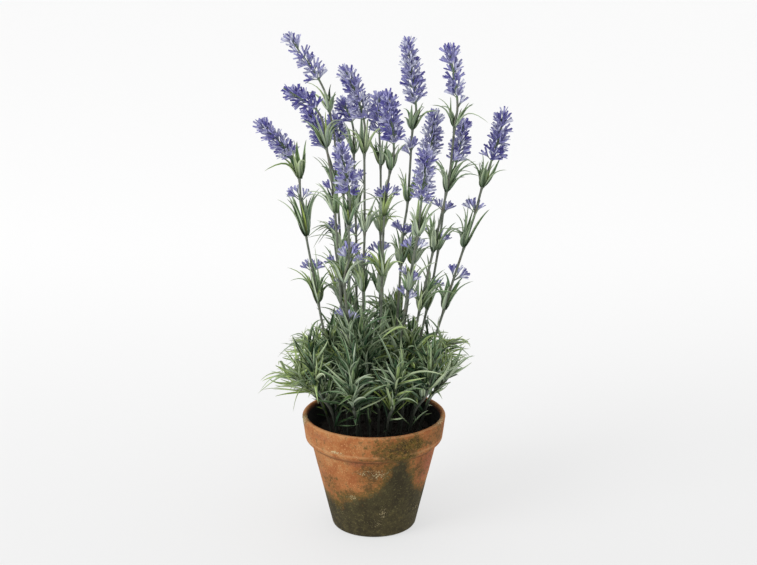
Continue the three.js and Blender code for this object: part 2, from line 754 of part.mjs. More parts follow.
/** Claims the room of every stem, spike core and stalk before any leaf is placed. */
function takeShafts() {
  for (const { shaft } of [...stems, ...sprays]) {
    const course = stretch(shaft.curve, shaft.heights[0], shaft.heights.at(-1), 12);
    take(shaft.name, shaftBalls(course, shaft.radius), true);
  }
  stems.forEach(({ spike, rachis }) => take(spike, shaftBalls(rachis, CORE_RADIUS), true));
}

/** Zero, then steps to one side and the other by turns. */
const sway = (attempt, step) => step * Math.ceil(attempt / 2) * (attempt % 2 ? 1 : -1);

/** Leaves and florets that the plant shows plainly, at their own places. */
function placeKnownPieces({ shaft, whorls, florets }, index) {
  whorls.forEach(([height, ...tips], whorl) => tips.forEach(([dx, dz], number) => {
    const draw = makeDraw(SEEDS.plainLeaf + 100 * index + 10 * whorl + number);
    const width = draw(...PLAIN_LEAF_WIDTHS) * LEAF_WIDTH;
    const roll = draw(-PLAIN_LEAF_ROLL, PLAIN_LEAF_ROLL);
    const depth = draw(-PLAIN_LEAF_DEPTH, PLAIN_LEAF_DEPTH);
    const root = pointAtHeight(shaft.curve, height);
    placeFirstClear(shaft.name, TRIES.plainLeaf, (attempt) => {
      const tip = root.clone().add(new THREE.Vector3(dx, depth + sway(attempt, PLAIN_LEAF_SWAY), dz));
      return leaf(root, tip, LEAF_ARCH[0], width, roll, SHORT_LEAF_ROWS);
    }, (shoot, isLast) => shaft.growOrJoin(height, shoot, isLast));
  }));
  florets.forEach(([height, dx, dz], number) => {
    const draw = makeDraw(SEEDS.plainFloret + 100 * index + number);
    const size = draw(...PLAIN_FLORET_SIZES);
    const depth = draw(-PLAIN_FLORET_DEPTH, PLAIN_FLORET_DEPTH);
    const root = pointAtHeight(shaft.curve, height);
    placeFirstClear(shaft.name, TRIES.plainFloret, (attempt) => {
      const reach = new THREE.Vector3(dx, depth + sway(attempt, PLAIN_FLORET_SWAY), dz);
      const neck = Math.max(1, reach.length() - size * FLORET_LENGTH);
      return floret(root, reach.normalize(), size, neck);
    }, (shoot, isLast) => shaft.growOrJoin(height, shoot, isLast));
  });
}

/** Florets in rings up a spike, the last ones upright at its tip. */
function placeSpikeFlorets({ spike, rachis }, index) {
  const rings = Math.round(rachis.getLength() / FLORET_RISE);
  const florets = [];
  for (let ring = 0; ring <= rings; ring++) {
    const place = Math.min(1, (ring + 0.35) / (rings + 0.35));
    const root = rachis.getPoint(place);
    const axis = rachis.getTangent(place);
    const side = axis.clone().cross(LEANING_UP).normalize();
    const count = ring === rings ? 1 : RING_FLORETS;
    for (let k = 0; k < count; k++) {
      const number = ring * RING_FLORETS + k;
      placeFirstClear(spike, TRIES.floret, (attempt) => {
        const draw = makeDraw(SEEDS.floret + 1000 * index + 10 * number + attempt);
        const spread = ring === rings
          ? draw(...LAST_SPREAD)
          : draw(...FLORET_SPREAD) - FLORET_CLOSING * place ** 2;
        const turn = ring * RING_TURN + k * (360 / RING_FLORETS) + draw(-RING_SWAY, RING_SWAY);
        const outward = side.clone().applyAxisAngle(axis, turn * DEGREES);
        const direction = axis.clone().multiplyScalar(Math.cos(spread * DEGREES))
          .addScaledVector(outward, Math.sin(spread * DEGREES));
        return floret(root, direction, draw(...FLORET_SIZES) * (1 - FLORET_SHRINKING * place));
      }, (shoot) => florets.push(loneShoot(shoot)));
    }
  }
  return florets;
}

/** A ring of leaves round a stem or stalk. */
function placeWhorl(shaft, height, seed, { count, lift, lengths, lean, shape }) {
  const phase = makeDraw(seed)(0, 360);
  const root = pointAtHeight(shaft.curve, height);
  for (let k = 0; k < count; k++) {
    placeFirstClear(shaft.name, TRIES.leaf, (attempt) => {
      const draw = makeDraw(seed + 11 * (k + 1) + 101 * attempt);
      const azimuth = phase + (360 * k) / count + draw(-20, 20) + 17 * attempt;
      const elevation = draw(...lift) - lean.pull * Math.cos((azimuth - lean.azimuth) * DEGREES);
      const tip = root.clone().addScaledVector(heading(azimuth, elevation), draw(...lengths));
      const [arch, width] = [draw(...LEAF_ARCH), draw(...LEAF_WIDTHS) * LEAF_WIDTH];
      return leaf(root, tip, arch, width, draw(-LEAF_ROLL, LEAF_ROLL), shape);
    }, (shoot) => shaft.grow(height, shoot));
  }
}

function placeStemLeaves({ shaft, whorls }, index) {
  const lowest = [makeDraw(SEEDS.lowestWhorl + index)(...LOWEST_WHORL)];
  [...whorls, lowest].forEach(([height, ...tips], number) => placeWhorl(
    shaft, height, SEEDS.stemLeaf + 5000 * index + 1500 * number, {
      count: Math.max(1, WHORL_LEAVES - tips.length),
      lift: STEM_LEAF_LIFT,
      lengths: STEM_LEAF_LENGTH,
      lean: { azimuth: 0, pull: 0 },
      shape: SHORT_LEAF_ROWS,
    },
  ));
}

function placeSprayLeaves({ shaft, top, lean }, index) {
  SPRAY_WHORLS.forEach(([share, count, lift], number) => placeWhorl(
    shaft, THREE.MathUtils.lerp(SOIL_TOP, top - 2, share), SEEDS.sprayLeaf + 5000 * index + 1500 * number, {
      count,
      lift,
      lengths: SPRAY_LEAF_LENGTH,
      lean: { azimuth: lean, pull: SPRAY_LEAF_PULL },
      shape: share > 0.7 ? LONG_LEAF_ROWS : SHORT_LEAF_ROWS,
    },
  ));
}

takeShafts();
stems.forEach(placeKnownPieces);
const spikeFlorets = stems.map(placeSpikeFlorets);
stems.forEach(placeStemLeaves);
sprays.forEach(placeSprayLeaves);

// ---------------------------------------------------------------- scene graph
const finish = (color, roughness) => new THREE.MeshStandardMaterial(
  { color, roughness, metalness: 0, flatShading: true },
);
const FINISHES = {
  pot: () => finish(0xc47a52, 0.92),
  soil: () => finish(0x211d1a, 0.97),
  stem: () => finish(0x5a7455, 0.6),
  floret: () => finish(0x6c66b6, 0.65),
  spray: () => finish(0x7b9a72, 0.6),
};

/** A named mesh that stands at its anchor. */
function part(name, solid, material, anchor = new THREE.Vector3()) {
  const geometry = geometryOf(solid).translate(-anchor.x, -anchor.y, -anchor.z);
  const piece = new THREE.Mesh(geometry, material);
  piece.name = name;
  piece.position.copy(anchor);
  return piece;
}

const holes = [...stems, ...sprays].map(({ shaft }) => makeHole(shaft.curve));
const holder = new THREE.Group();
holder.add(
  part("pot", makePot(), FINISHES.pot()),
  part("soil", makeSoil(holes), FINISHES.soil()),
);

const flowers = new THREE.Group();
stems.forEach(({ shaft, spike, rachis, path }, index) => {
  const foot = new THREE.Vector3(path[0][0], path[0][1], SOIL_TOP);
  const core = bar(rachis, CORE_RADIUS, CORE_STEPS, CORE_SIDES);
  flowers.add(
    part(shaft.name, shaft.solid(), FINISHES.stem(), foot),
    part(spike, fuse([core, ...spikeFlorets[index]]), FINISHES.floret(), foot),
  );
});

const foliage = new THREE.Group();
sprays.forEach(({ shaft }, index) => {
  const foot = new THREE.Vector3(SPRAYS[index][0], SPRAYS[index][1], SOIL_TOP);
  foliage.add(part(shaft.name, shaft.solid(), FINISHES.spray(), foot));
});

const lavender = new THREE.Group();
lavender.add(holder, flowers, foliage);

export default lavender;
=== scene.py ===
"""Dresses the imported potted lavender: a weathered terracotta pot, dark soil, leafy flower stems
with spikes of violet florets, and a mound of narrow leaves. Metres, +Z up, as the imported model."""
import math
import random
from collections import defaultdict, namedtuple

import bpy
import numpy as np
from bpy.props import FloatProperty, FloatVectorProperty, PointerProperty
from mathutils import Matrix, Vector, noise


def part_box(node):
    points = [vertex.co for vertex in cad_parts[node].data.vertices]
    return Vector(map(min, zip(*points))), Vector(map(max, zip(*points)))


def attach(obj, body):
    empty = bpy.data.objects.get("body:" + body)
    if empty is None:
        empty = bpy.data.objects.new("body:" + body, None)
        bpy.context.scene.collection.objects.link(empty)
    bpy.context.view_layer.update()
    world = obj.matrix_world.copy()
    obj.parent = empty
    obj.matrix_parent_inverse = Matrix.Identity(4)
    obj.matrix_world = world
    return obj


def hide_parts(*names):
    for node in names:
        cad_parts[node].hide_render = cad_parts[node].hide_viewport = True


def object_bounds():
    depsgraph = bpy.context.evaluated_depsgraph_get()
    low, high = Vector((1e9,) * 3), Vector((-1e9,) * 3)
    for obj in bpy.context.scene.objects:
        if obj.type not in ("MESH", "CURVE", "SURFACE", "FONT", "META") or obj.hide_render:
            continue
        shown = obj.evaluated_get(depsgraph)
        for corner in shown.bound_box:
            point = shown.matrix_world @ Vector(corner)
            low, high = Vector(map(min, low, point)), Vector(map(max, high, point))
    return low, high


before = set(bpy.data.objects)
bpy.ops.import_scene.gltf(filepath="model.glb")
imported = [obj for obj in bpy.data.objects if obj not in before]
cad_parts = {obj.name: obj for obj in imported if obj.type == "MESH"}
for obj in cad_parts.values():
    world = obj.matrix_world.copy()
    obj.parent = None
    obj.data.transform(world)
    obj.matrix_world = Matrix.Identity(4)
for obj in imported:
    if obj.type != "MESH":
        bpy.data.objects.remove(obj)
CAD_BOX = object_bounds()

bl_info = {
    "name": "Potted lavender",
    "version": (1, 0, 0),
    "blender": (4, 5, 0),
    "location": "View3D > Sidebar > Lavender",
    "description": "Builds the looks of a potted lavender round its packed model",
    "category": "Object",
}

MM = 0.001


def paint(red, green, blue):
    """Scene colour of a red, green and blue from 0 to 255 as a screen shows them."""
    shares = (value / 255 for value in (red, green, blue))
    return tuple(s / 12.92 if s <= 0.04045 else ((s + 0.055) / 1.055) ** 2.4 for s in shares)


# ------------------------------------------------------------------ sizes and places, in metres
POT_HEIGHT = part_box("pot")[1].z
RIM_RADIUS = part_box("pot")[1].x
LIP_RADIUS = 2.2 * MM  # rounding of the lip's outer edge
WALL = 5.5 * MM
LIP_WIDTH = 4.3 * MM  # the wall is a little thinner at its lip
BAND_FOOT_RADIUS = 62.5 * MM
BAND_HEIGHT = 26.5 * MM
BAND_FOOT = POT_HEIGHT - BAND_HEIGHT
BEVEL_RISE = 6 * MM  # height of the slope from the band down to the body
BEVEL_RADIUS = 3.6 * MM  # rounding between that slope and the band
BODY_TOP_RADIUS = 57 * MM
BASE_RADIUS = 38.6 * MM
FOOT_RADIUS = 3.5 * MM  # rounding of the pot's foot
FLOOR = 7 * MM  # thickness of the pot's floor
SOIL_TOP = 89 * MM
STEM_RADIUS = 1.25 * MM
STALK_RADIUS = 1.15 * MM
RACHIS_RADIUS = 0.6 * MM  # of the thin stem inside a spike, at its tip

# Flower stems: places from the soil to the tip in millimetres, height where the spike starts,
# shade of its florets from dark to light, and share of the gaps between them that is filled.
STEMS = [
    ([(-26, -5, 89), (-45, -1, 185), (-54, 3, 238), (-60, 5, 272), (-64, 7, 303),
      (-70, 9, 339), (-103, 12, 375)], 339, 0.52, 1.0),
    ([(-20, 10, 89), (-27, 14, 167), (-32, 19, 235), (-35, 21, 268), (-34, 27, 344),
      (-39, 29, 378), (-47, 31, 404), (-76, 35, 446)], 404, 0.66, 0.35),
    ([(-23, -15, 89), (-29, -22, 220), (-34, -28, 311), (-40, -31, 358),
      (-47, -33, 389), (-80, -35, 412)], 389, 0.22, 1.0),
    ([(-15, 3, 89), (-26, 9, 183), (-29, 12, 247), (-33, 16, 310), (-41, 18, 344),
      (-58, 20, 383)], 344, 0.35, 0.7),
    ([(-13, 24, 89), (-20, 32, 175), (-25, 43, 258), (-31, 55, 342), (-37, 60, 372)],
     342, 0.5, 1.0),
    ([(-11, -21, 89), (-21, -35, 188), (-25, -46, 243), (-21, -51, 266), (-21, -57, 297),
      (-20, -63, 322), (-27, -75, 370)], 322, 0.62, 1.0),
    ([(-5, -9, 89), (-9, -13, 190), (-9, -16, 248), (-8, -17, 281), (-8, -21, 351),
      (-8, -22, 378), (-18, -24, 411), (-27, -25, 426)], 378, 0.58, 1.0),
    ([(-7, 14, 89), (-15, 26, 177), (-16, 33, 260), (-18, 40, 338), (-19, 43, 364),
      (-29, 45, 387)], 364, 0.55, 0.8),
    ([(4, -19, 89), (6, -26, 194), (9, -37, 300), (14, -42, 341), (17, -44, 361),
      (12, -50, 408)], 361, 0.5, 1.0),
    ([(2, 27, 89), (5, 34, 175), (6, 46, 265), (6, 55, 325), (5, 59, 350), (4, 65, 390)],
     350, 0.55, 0.9),
    ([(10, 4, 89), (20, 9, 183), (26, 14, 269), (30, 16, 300), (34, 20, 364),
      (37, 21, 383), (29, 25, 442)], 383, 0.6, 1.0),
    ([(14, 17, 89), (31, 29, 205), (43, 40, 296), (49, 44, 329), (55, 50, 376)],
     329, 0.6, 1.0),
    ([(14, -13, 89), (26, -28, 204), (35, -40, 269), (38, -43, 284), (40, -49, 312),
      (45, -60, 363)], 312, 0.62, 1.0),
    ([(21, -7, 89), (37, -11, 189), (54, -13, 272), (63, -15, 316), (66, -16, 337),
      (69, -17, 373), (71, -18, 396), (63, -20, 444)], 396, 0.5, 0.4),
    ([(23, 11, 89), (48, 23, 198), (58, 29, 252), (65, 36, 305), (73, 39, 327),
      (81, 45, 369)], 327, 0.5, 0.9),
    ([(29, 0, 89), (56, 1, 182), (63, 2, 205), (71, 2, 233), (80, 3, 262), (89, 3, 292),
      (95, 4, 316), (102, 4, 337), (109, 4, 360), (113, 5, 384)], 337, 0.42, 1.0),
]

# Sprays: place of the stalk's foot in x and y, then of its top in x, y and z, in millimetres,
# and how yellow-green its leaves are.
SPRAYS = [
    (-37, -8, -66, -14, 143, 0.75), (-35, 10, -60, 14, 168, 0.6),
    (-33, 29, -52, 46, 150, 0.4), (-32, -25, -46, -48, 141, 0.3),
    (-14, -36, -18, -64, 137, 0.15), (10, -36, 18, -63, 138, 0.3),
    (30, -24, 46, -46, 141, 0.2), (40, -6, 66, -10, 143, 0.5),
    (38, 14, 66, 14, 166, 0.8), (30, 31, 48, 48, 151, 0.4),
    (9, 42, 14, 68, 143, 0.3), (-14, 40, -22, 66, 146, 0.3),
    (-3, -29, -8, -36, 172, 0.1), (-33, -12, -40, -12, 182, 0.35),
    (24, -20, 34, -26, 177, 0.45), (15, 31, 20, 34, 180, 0.3),
]

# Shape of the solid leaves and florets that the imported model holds.
SAME_PLACE = 1e-6  # corners nearer than this are one
LEAF_END = (7 * MM, 40 * MM)  # length of a leaf's last stretch
LOBE_EDGE = (2.5 * MM, 7 * MM)  # length of the edges that meet at a lobe's tip
ROW_PLACE = {1: 0.45, 2: 0.36, 3: 0.36}  # place of a leaf's first row, by its number of rows
SOLID_THROAT = 3.8 * MM  # height of a floret's throat over its foot
SOLID_LOBE_RISE = 4.4 * MM  # height of its lobes' tips over the throat

# Weathering of the pot, with painted shade on its right side: angle from the front in degrees,
# rightwards, and height in millimetres of each patch, half its size in degrees and in millimetres,
# and its strength.
PATCHES = {
    "moss": [
        (23, 95, 14, 9, 1.0), (33, 100, 9, 6, 0.85), (5, 98, 10, 8, 0.62), (14, 88, 12, 6, 0.7),
        (26, 84.5, 13, 4, 0.95), (38, 96, 8, 7, 0.85), (-46, 31, 11, 7, 0.55),
        (-82, 104, 14, 6, 0.75), (150, 95, 22, 8, 0.9), (-118, 100, 14, 6, 0.6),
        (205, 88, 10, 6, 0.5),
    ],
    "ochre": [
        # The patches at 48 to 62 degrees, on the right, are partly ochre stain and partly painted shade
        # that darkens that side.
        (2, 69, 20, 14, 1.0), (9, 60, 12, 13, 1.0), (12, 73, 6, 12, 1.0), (62, 97, 20, 12, 0.75),
        (48, 66, 13, 17, 0.72), (-4, 53, 10, 6, 0.95), (-3, 85.5, 8, 4, 0.8),
        (-52, 50, 20, 12, 0.7), (-70, 70, 20, 20, 0.45), (22, 94, 30, 14, 0.85),
        (-20, 44, 30, 8, 0.85), (52, 82, 12, 8, 0.6), (58, 103, 12, 6, 0.5),
        (165, 70, 26, 14, 0.8), (-140, 60, 20, 12, 0.6),
    ],
    "lime": [
        (-8, 69, 15, 6, 0.62), (5, 68.5, 13, 7.5, 0.72), (-33, 89.2, 8, 2.2, 0.9),
        (11, 26.5, 8, 9, 0.62), (-24, 42.5, 8, 3.5, 0.72), (-78, 105, 12, 5, 1.0),
        (-42, 22, 14, 8, 0.42), (70, 107, 13, 2.5, 0.9), (4, 16, 16, 6, 0.45),
        (172, 66, 22, 10, 0.5), (-150, 30, 12, 6, 0.5), (60, 24, 14, 8, 0.4),
    ],
    "blush": [
        # Besides a red stain, the blush paints shade on the pot's right side: its colour is darkened,
        # chiefly in the wide patch at 60 degrees.
        (60, 66, 22, 18, 1.0), (-12, 78, 14, 4, 0.8), (-62, 58, 14, 6, 0.6),
        (-45, 100, 16, 5, 0.5), (118, 60, 20, 14, 0.7),
    ],
}
# Height in millimetres that the dark growth on the lower half reaches, by angle in degrees.
GROWTH_EDGE = [
    (-180, 44), (-140, 36), (-100, 37), (-64, 36), (-54, 34), (-45, 33), (-33, 37), (-23, 41),
    (-10, 41), (-3, 47), (5, 48.5), (9.5, 52), (12, 58), (13.5, 66), (15.5, 83), (33, 83),
    (36, 68), (40, 57), (44, 51), (51, 45.5), (60, 42.5), (75, 41), (95, 45), (120, 52), (150, 40),
    (180, 44),
]
GROWTH_SOFTNESS = 21 * MM  # height over which the growth thins out

# The floor glows faintly. Its near part gives back this share of the light, up to the first of
# two places from front to back, and all of it from the second on.
FLOOR_GLOW = 2.5
FLOOR_FADE = 0.865
FLOOR_FADE_PLACES = (-0.25, 1.1)
FLOOR_BLEND_REACH = (1.2, 3.5)  # distances over which the floor takes one brightness all round
FLOOR_FAR = 0.925  # share that its far part gives back, which is then as bright as the sky
FLOOR_FAR_REACH = (4.5, 10.0)

# Colours besides those of the settings, under the names that the finishes call them by.
COLOURS = {name: paint(*shades) for name, shades in {
    # the clay and its stains
    "baked_clay": (146, 84, 46), "red_clay": (150, 84, 60), "sand": (212, 160, 108),
    "grit": (112, 70, 38), "pit": (70, 44, 28), "worn_edge": (206, 158, 112),
    "crease_dirt": (92, 56, 34), "damp_clay": (96, 48, 38), "dark_inside": (20, 18, 16),
    "ochre": (124, 86, 42), "deep_ochre": (96, 65, 34), "ochre_cloud": (84, 62, 36),
    "ochre_shade": (74, 52, 30), "ochre_speck": (190, 146, 82),
    # the growth on the lower half, and its fringe
    "fringe": (108, 88, 42), "dark_fringe": (74, 66, 34), "green_film": (86, 82, 50),
    "dark_film": (42, 39, 24), "black_film": (37, 34, 20), "dry_film": (96, 90, 56),
    "brown_film": (98, 78, 46), "film_speck": (124, 118, 78),
    # moss, its grains and the soil
    "dark_moss": (62, 51, 29), "thin_moss": (114, 74, 42), "moss_tip": (164, 136, 74),
    "moss_shade": (40, 35, 21), "dark_grain": (56, 47, 27), "pale_grain": (164, 146, 80),
    "dusty_grain": (110, 84, 50), "pale_soil": (62, 50, 40),
    # leaves, with painted shade in the groove and painted sheen on the paler margin
    "cool_leaf": (72, 108, 80), "groove": (30, 50, 28), "underside": (136, 145, 137),
    "keel": (76, 88, 70), "margin": (216, 226, 192), "leaf_tip": (118, 124, 98),
    "leaf_shadow": (16, 32, 14),
    # bare stems, with painted shade at their foot
    "dark_bark": (62, 68, 58), "pale_bark": (146, 152, 130), "brown_bark": (92, 74, 58),
    "stem_foot": (30, 33, 28),
    # florets, with painted shade where the lobes part and on their inner side
    "lobe_tip": (96, 92, 152), "parting": (82, 78, 140), "lobe_inside": (60, 56, 116),
    "tube": (132, 136, 164), "floret_foot": (108, 120, 104),
}.items()}


# ------------------------------------------------------------------ settings
def colour_setting(name, description, *shades):
    """A colour in the panel, by its red, green and blue from 0 to 255."""
    return FloatVectorProperty(
        name=name, description=description, subtype="COLOR", default=paint(*shades))


class LavenderPot(bpy.types.PropertyGroup):
    """Colours of the pot and of what grows on it."""

    clay: colour_setting("Clay", "Colour of the bare terracotta", 169, 107, 61)
    pale_clay: colour_setting("Pale clay", "Colour of its lighter, sandy mottling", 186, 134, 86)
    growth: colour_setting("Growth", "Colour of the dark growth on the lower half", 61, 57, 35)
    moss: colour_setting("Moss", "Colour of the moss on the rim band", 116, 96, 42)
    lime: colour_setting("Lime", "Colour of the lime crust", 222, 204, 158)
    soil: colour_setting("Soil", "Colour of the soil", 32, 28, 25)


class LavenderPlant(bpy.types.PropertyGroup):
    """Sizes and colours of the leaves and florets."""

    leaf_breadth: FloatProperty(
        name="Leaf breadth", description="Width of a leaf over that of its solid", default=0.95,
        min=0.5, max=2.0)
    leaf_thickness: FloatProperty(
        name="Leaf thickness", description="Thickness of a leaf at its rib", default=0.45 * MM,
        unit="LENGTH", precision=5)
    leaf: colour_setting("Leaf", "Colour of most leaves", 105, 139, 91)
    deep_leaf: colour_setting("Deep leaf", "Colour of the darkest leaves", 19, 47, 14)
    fresh_leaf: colour_setting("Fresh leaf", "Colour of the yellow-green leaves", 182, 204, 106)
    pale_leaf: colour_setting("Pale leaf", "Colour of the lightest leaves", 191, 207, 178)
    stem: colour_setting("Stem", "Colour of the bare stems", 108, 114, 102)
    floret: colour_setting("Floret", "Colour of most florets", 178, 177, 224)
    deep_floret: colour_setting("Deep floret", "Colour of the darkest florets", 92, 87, 162)
    pale_floret: colour_setting("Pale floret", "Colour of the lightest florets", 238, 241, 250)


class LavenderStage(bpy.types.PropertyGroup):
    """Floor, light and camera."""

    floor: colour_setting("Floor", "Colour of the floor", 143, 143, 143)
    key_power: FloatProperty(
        name="Key light", description="Power of the large soft light on the left", default=34.0,
        unit="POWER")
    sky: FloatProperty(
        name="Sky", description="Strength of the even light from all sides", default=0.89)
    lens: FloatProperty(
        name="Lens", description="Focal length of the camera", default=75.6, unit="CAMERA")


# ------------------------------------------------------------------ shader expressions
class Value:
    """A node's output. Arithmetic on it adds Math nodes to its tree."""

    def __init__(self, tree, socket):
        self.tree = tree
        self.socket = socket

    def math(self, operation, left, right):
        """The outcome of one operation on two values or numbers."""
        node = self.tree.nodes.new("ShaderNodeMath")
        node.operation = operation
        for place, value in enumerate((left, right)):
            plug(self.tree, value, node.inputs[place])
        return Value(self.tree, node.outputs[0])

    def __add__(self, other):
        return self.math("ADD", self, other)

    def __sub__(self, other):
        return self.math("SUBTRACT", self, other)

    def __mul__(self, other):
        return self.math("MULTIPLY", self, other)

    def __rsub__(self, other):
        return self.math("SUBTRACT", other, self)

    __radd__ = __add__
    __rmul__ = __mul__


def plug(tree, value, socket):
    """Links a Value to a node's input, or sets the input to a plain value."""
    if isinstance(value, Value):
        tree.links.new(value.socket, socket)
    elif hasattr(value, "__len__") and len(value) == 3 and socket.type == "RGBA":
        socket.default_value = (*value, 1)
    else:
        socket.default_value = value


class Finish:
    """A material under construction."""

    def __init__(self, name):
        self.material = bpy.data.materials.new(name)
        self.material.use_nodes = True
        self.tree = self.material.node_tree
        self.shader = self.tree.nodes["Principled BSDF"]
        self.place = self.node("ShaderNodeTexCoord", {}, output=3)

    def node(self, kind, inputs, output=0, **settings):
        """Adds a node with its settings, then its inputs, and returns one of its outputs."""
        node = self.tree.nodes.new(kind)
        for name, value in settings.items():
            setattr(node, name, value)
        for key, value in inputs.items():
            plug(self.tree, value, node.inputs[key])
        return Value(self.tree, node.outputs[output])

    def mark(self, name):
        """A number that the mesh carries at each point."""
        return self.node("ShaderNodeAttribute", {}, output=2, attribute_name=name)

    def clouds(self, size, detail=4.0, roughness=0.55, stretch=None):
        """Soft random clouds of a size in metres, from 0 to 1."""
        place = self.place
        if stretch:
            place = self.node(
                "ShaderNodeVectorMath", {0: place, 1: stretch}, operation="MULTIPLY")
        return self.node("ShaderNodeTexNoise", {
            "Vector": place, "Scale": 1 / size, "Detail": detail, "Roughness": roughness})

    def dots(self, size):
        """Distance to the middle of the nearest of many scattered cells, and its own chance."""
        cells = self.node("ShaderNodeTexVoronoi", {"Vector": self.place, "Scale": 1 / size})
        colour = Value(self.tree, cells.socket.node.outputs["Color"])
        return cells, self.node("ShaderNodeSeparateColor", {0: colour})

    def ramp(self, value, low, high):
        """0 below one number, 1 above another, and smooth between. The first may be the higher."""
        return self.node(
            "ShaderNodeMapRange", {0: value, 1: low, 2: high, 3: 0.0, 4: 1.0},
            interpolation_type="SMOOTHSTEP")

    def mix(self, first, second, factor):
        """The first colour where the factor is 0 and the second where it is 1."""
        return self.node(
            "ShaderNodeMix", {0: factor, 6: first, 7: second}, output=2, data_type="RGBA")

    def coats(self, colour, **densities):
        """The colour under coats of named ones, from below to above, with the density of each."""
        for name, density in densities.items():
            colour = self.mix(colour, COLOURS[name], density)
        return colour

    def bump(self, height, distance):
        """Fine relief, as high as the distance says where the height rises by 1."""
        return self.node("ShaderNodeBump", {"Height": height, "Distance": distance, "Strength": 1.0})

    def wear(self, **inputs):
        """Sets or links the shader's inputs and returns the finished material."""
        for key, value in inputs.items():
            plug(self.tree, value, self.shader.inputs[key.replace("_", " ")])
        return self.material


def terracotta_finish(look):
    """Fired clay: sandy mottling, dark growth low down, moss, ochre stains, lime, painted shade and
    highlight.
    """
    finish = Finish("terracotta")
    ramp, mark = finish.ramp, finish.mark
    broad = finish.clouds(30 * MM, 5, 0.6) - 0.5
    middle = finish.clouds(8 * MM, 6, 0.62) - 0.5
    fine = finish.clouds(2.6 * MM, 5, 0.7) - 0.5
    grain = finish.clouds(1.1 * MM, 4, 0.7) - 0.5
    speck = finish.clouds(1.5 * MM, 2, 0.5, (1.3, 1.3, 0.9)) - 0.5
    crumb = finish.clouds(0.85 * MM, 2, 0.5) - 0.5
    dirt = 1.3 * middle + 1.1 * fine + 0.8 * grain  # it breaks the edges of patches up into spots

    # ochre stains, which on the pot's right side also paint shade
    stain = ramp(mark("ochre") + 0.85 * dirt, 0.12, 0.8)
    distance, chance = finish.dots(1.1 * MM)
    pits = ramp(distance, 0.42, 0.24) * ramp(chance - 0.24 * mark("ochre"), 0.03, 0.0)
    spread = mark("growth") + middle + 0.85 * fine + 0.5 * grain
    fringe = ramp(spread, 0.04, 0.44)
    moss = ramp(mark("moss") + 1.1 * dirt, 0.2, 0.8)
    crust = ramp(crumb + 0.5 * grain + 0.4 * mark("lime"), 0.29, 0.42)
    damp = mark("inside") + 0.25 * middle

    clay = finish.coats(
        finish.mix(look.clay, look.pale_clay, ramp(broad + 0.8 * middle + 0.6 * fine, -0.06, 0.22)),
        baked_clay=ramp(broad + middle + 0.4 * fine, 0.0, -0.2) * 0.7,
        # red clay stain, darkened as well to paint shade on the pot's right side
        red_clay=ramp(mark("blush") + 0.7 * dirt, 0.2, 0.8) * 0.8,
        sand=ramp(speck + 0.6 * fine, 0.08, 0.2) * 0.55,
        grit=ramp(speck - 0.7 * fine, -0.1, -0.2) * 0.5,
        ochre=stain * 0.82,
        deep_ochre=ramp(mark("ochre") + 0.6 * dirt, 0.66, 1.05) * 0.75,
        ochre_cloud=stain * ramp(middle + 0.6 * fine, -0.02, 0.14) * 0.7,
        ochre_shade=stain * ramp(fine + 0.8 * grain, 0.0, 0.2) * 0.6,
        ochre_speck=stain * ramp(crumb - 0.5 * fine, 0.1, 0.2) * 0.6,
        pit=pits * 0.4,
        # paler rubbed edges, which also carry a painted highlight
        worn_edge=ramp(mark("worn") + dirt, 0.4, 0.9) * 0.35,
        # painted shade in the crease under the band
        crease_dirt=ramp(mark("crease") + 0.8 * dirt, 0.35, 0.95) * 0.6,
        fringe=fringe * 0.75,
        dark_fringe=fringe * ramp(grain + 0.6 * fine, 0.0, 0.14) * 0.7)
    film = finish.coats(
        look.growth,
        green_film=ramp(middle + 0.5 * fine, 0.02, 0.22) * 0.8,
        dark_film=ramp(broad + 0.8 * middle, 0.06, -0.14) * 0.8,
        black_film=ramp(fine + 0.7 * grain, -0.02, -0.16) * 0.6,
        dry_film=ramp(fine + 0.8 * grain, 0.06, 0.2) * 0.5,
        brown_film=ramp(middle - 0.7 * fine, 0.14, 0.3) * 0.4,
        film_speck=ramp(speck + 0.5 * fine, 0.13, 0.22) * 0.5)
    cushion = finish.coats(
        look.moss,
        dark_moss=ramp(middle + 0.8 * fine + 0.3 * grain, -0.1, 0.16) * ramp(mark("moss"), 0.2, 0.75),
        thin_moss=ramp(middle - 0.8 * fine, 0.04, 0.18) * 0.7,
        moss_tip=ramp(grain + 0.5 * speck, 0.07, 0.22) * 0.6,
        moss_shade=ramp(grain + 0.6 * crumb, -0.06, -0.24) * 0.6)
    colour = finish.mix(clay, film, ramp(spread, 0.27, 0.74) * 0.95)
    colour = finish.mix(colour, cushion, moss * 0.88)
    colour = finish.mix(colour, look.lime, crust * 0.9)
    # painted shade on the pot's inside, from reddish clay just under the rim to near black lower down
    colour = finish.coats(
        colour, damp_clay=ramp(damp, 0.0, 0.3) * 0.9, dark_inside=ramp(damp, 0.18, 0.5))
    relief = 0.6 * fine + 0.6 * grain + 0.5 * speck + moss * (0.3 + grain) + 0.6 * crust
    return finish.wear(
        Base_Color=colour, Roughness=0.86 + 0.3 * fine, Specular_IOR_Level=0.25,
        Normal=finish.bump(relief, 0.7 * MM))


def soil_finish(look):
    """Dark soil with a few paler grains."""
    finish = Finish("soil")
    clumps = finish.clouds(4 * MM, 8, 0.7)
    grain = finish.clouds(0.8 * MM, 4, 0.6)
    colour = finish.coats(
        look.soil, pale_soil=finish.ramp(grain + 0.4 * clumps, 0.72, 0.95) * 0.6)
    return finish.wear(
        Base_Color=colour, Roughness=0.97, Specular_IOR_Level=0.15,
        Normal=finish.bump(clumps + 0.5 * grain, 0.8 * MM))


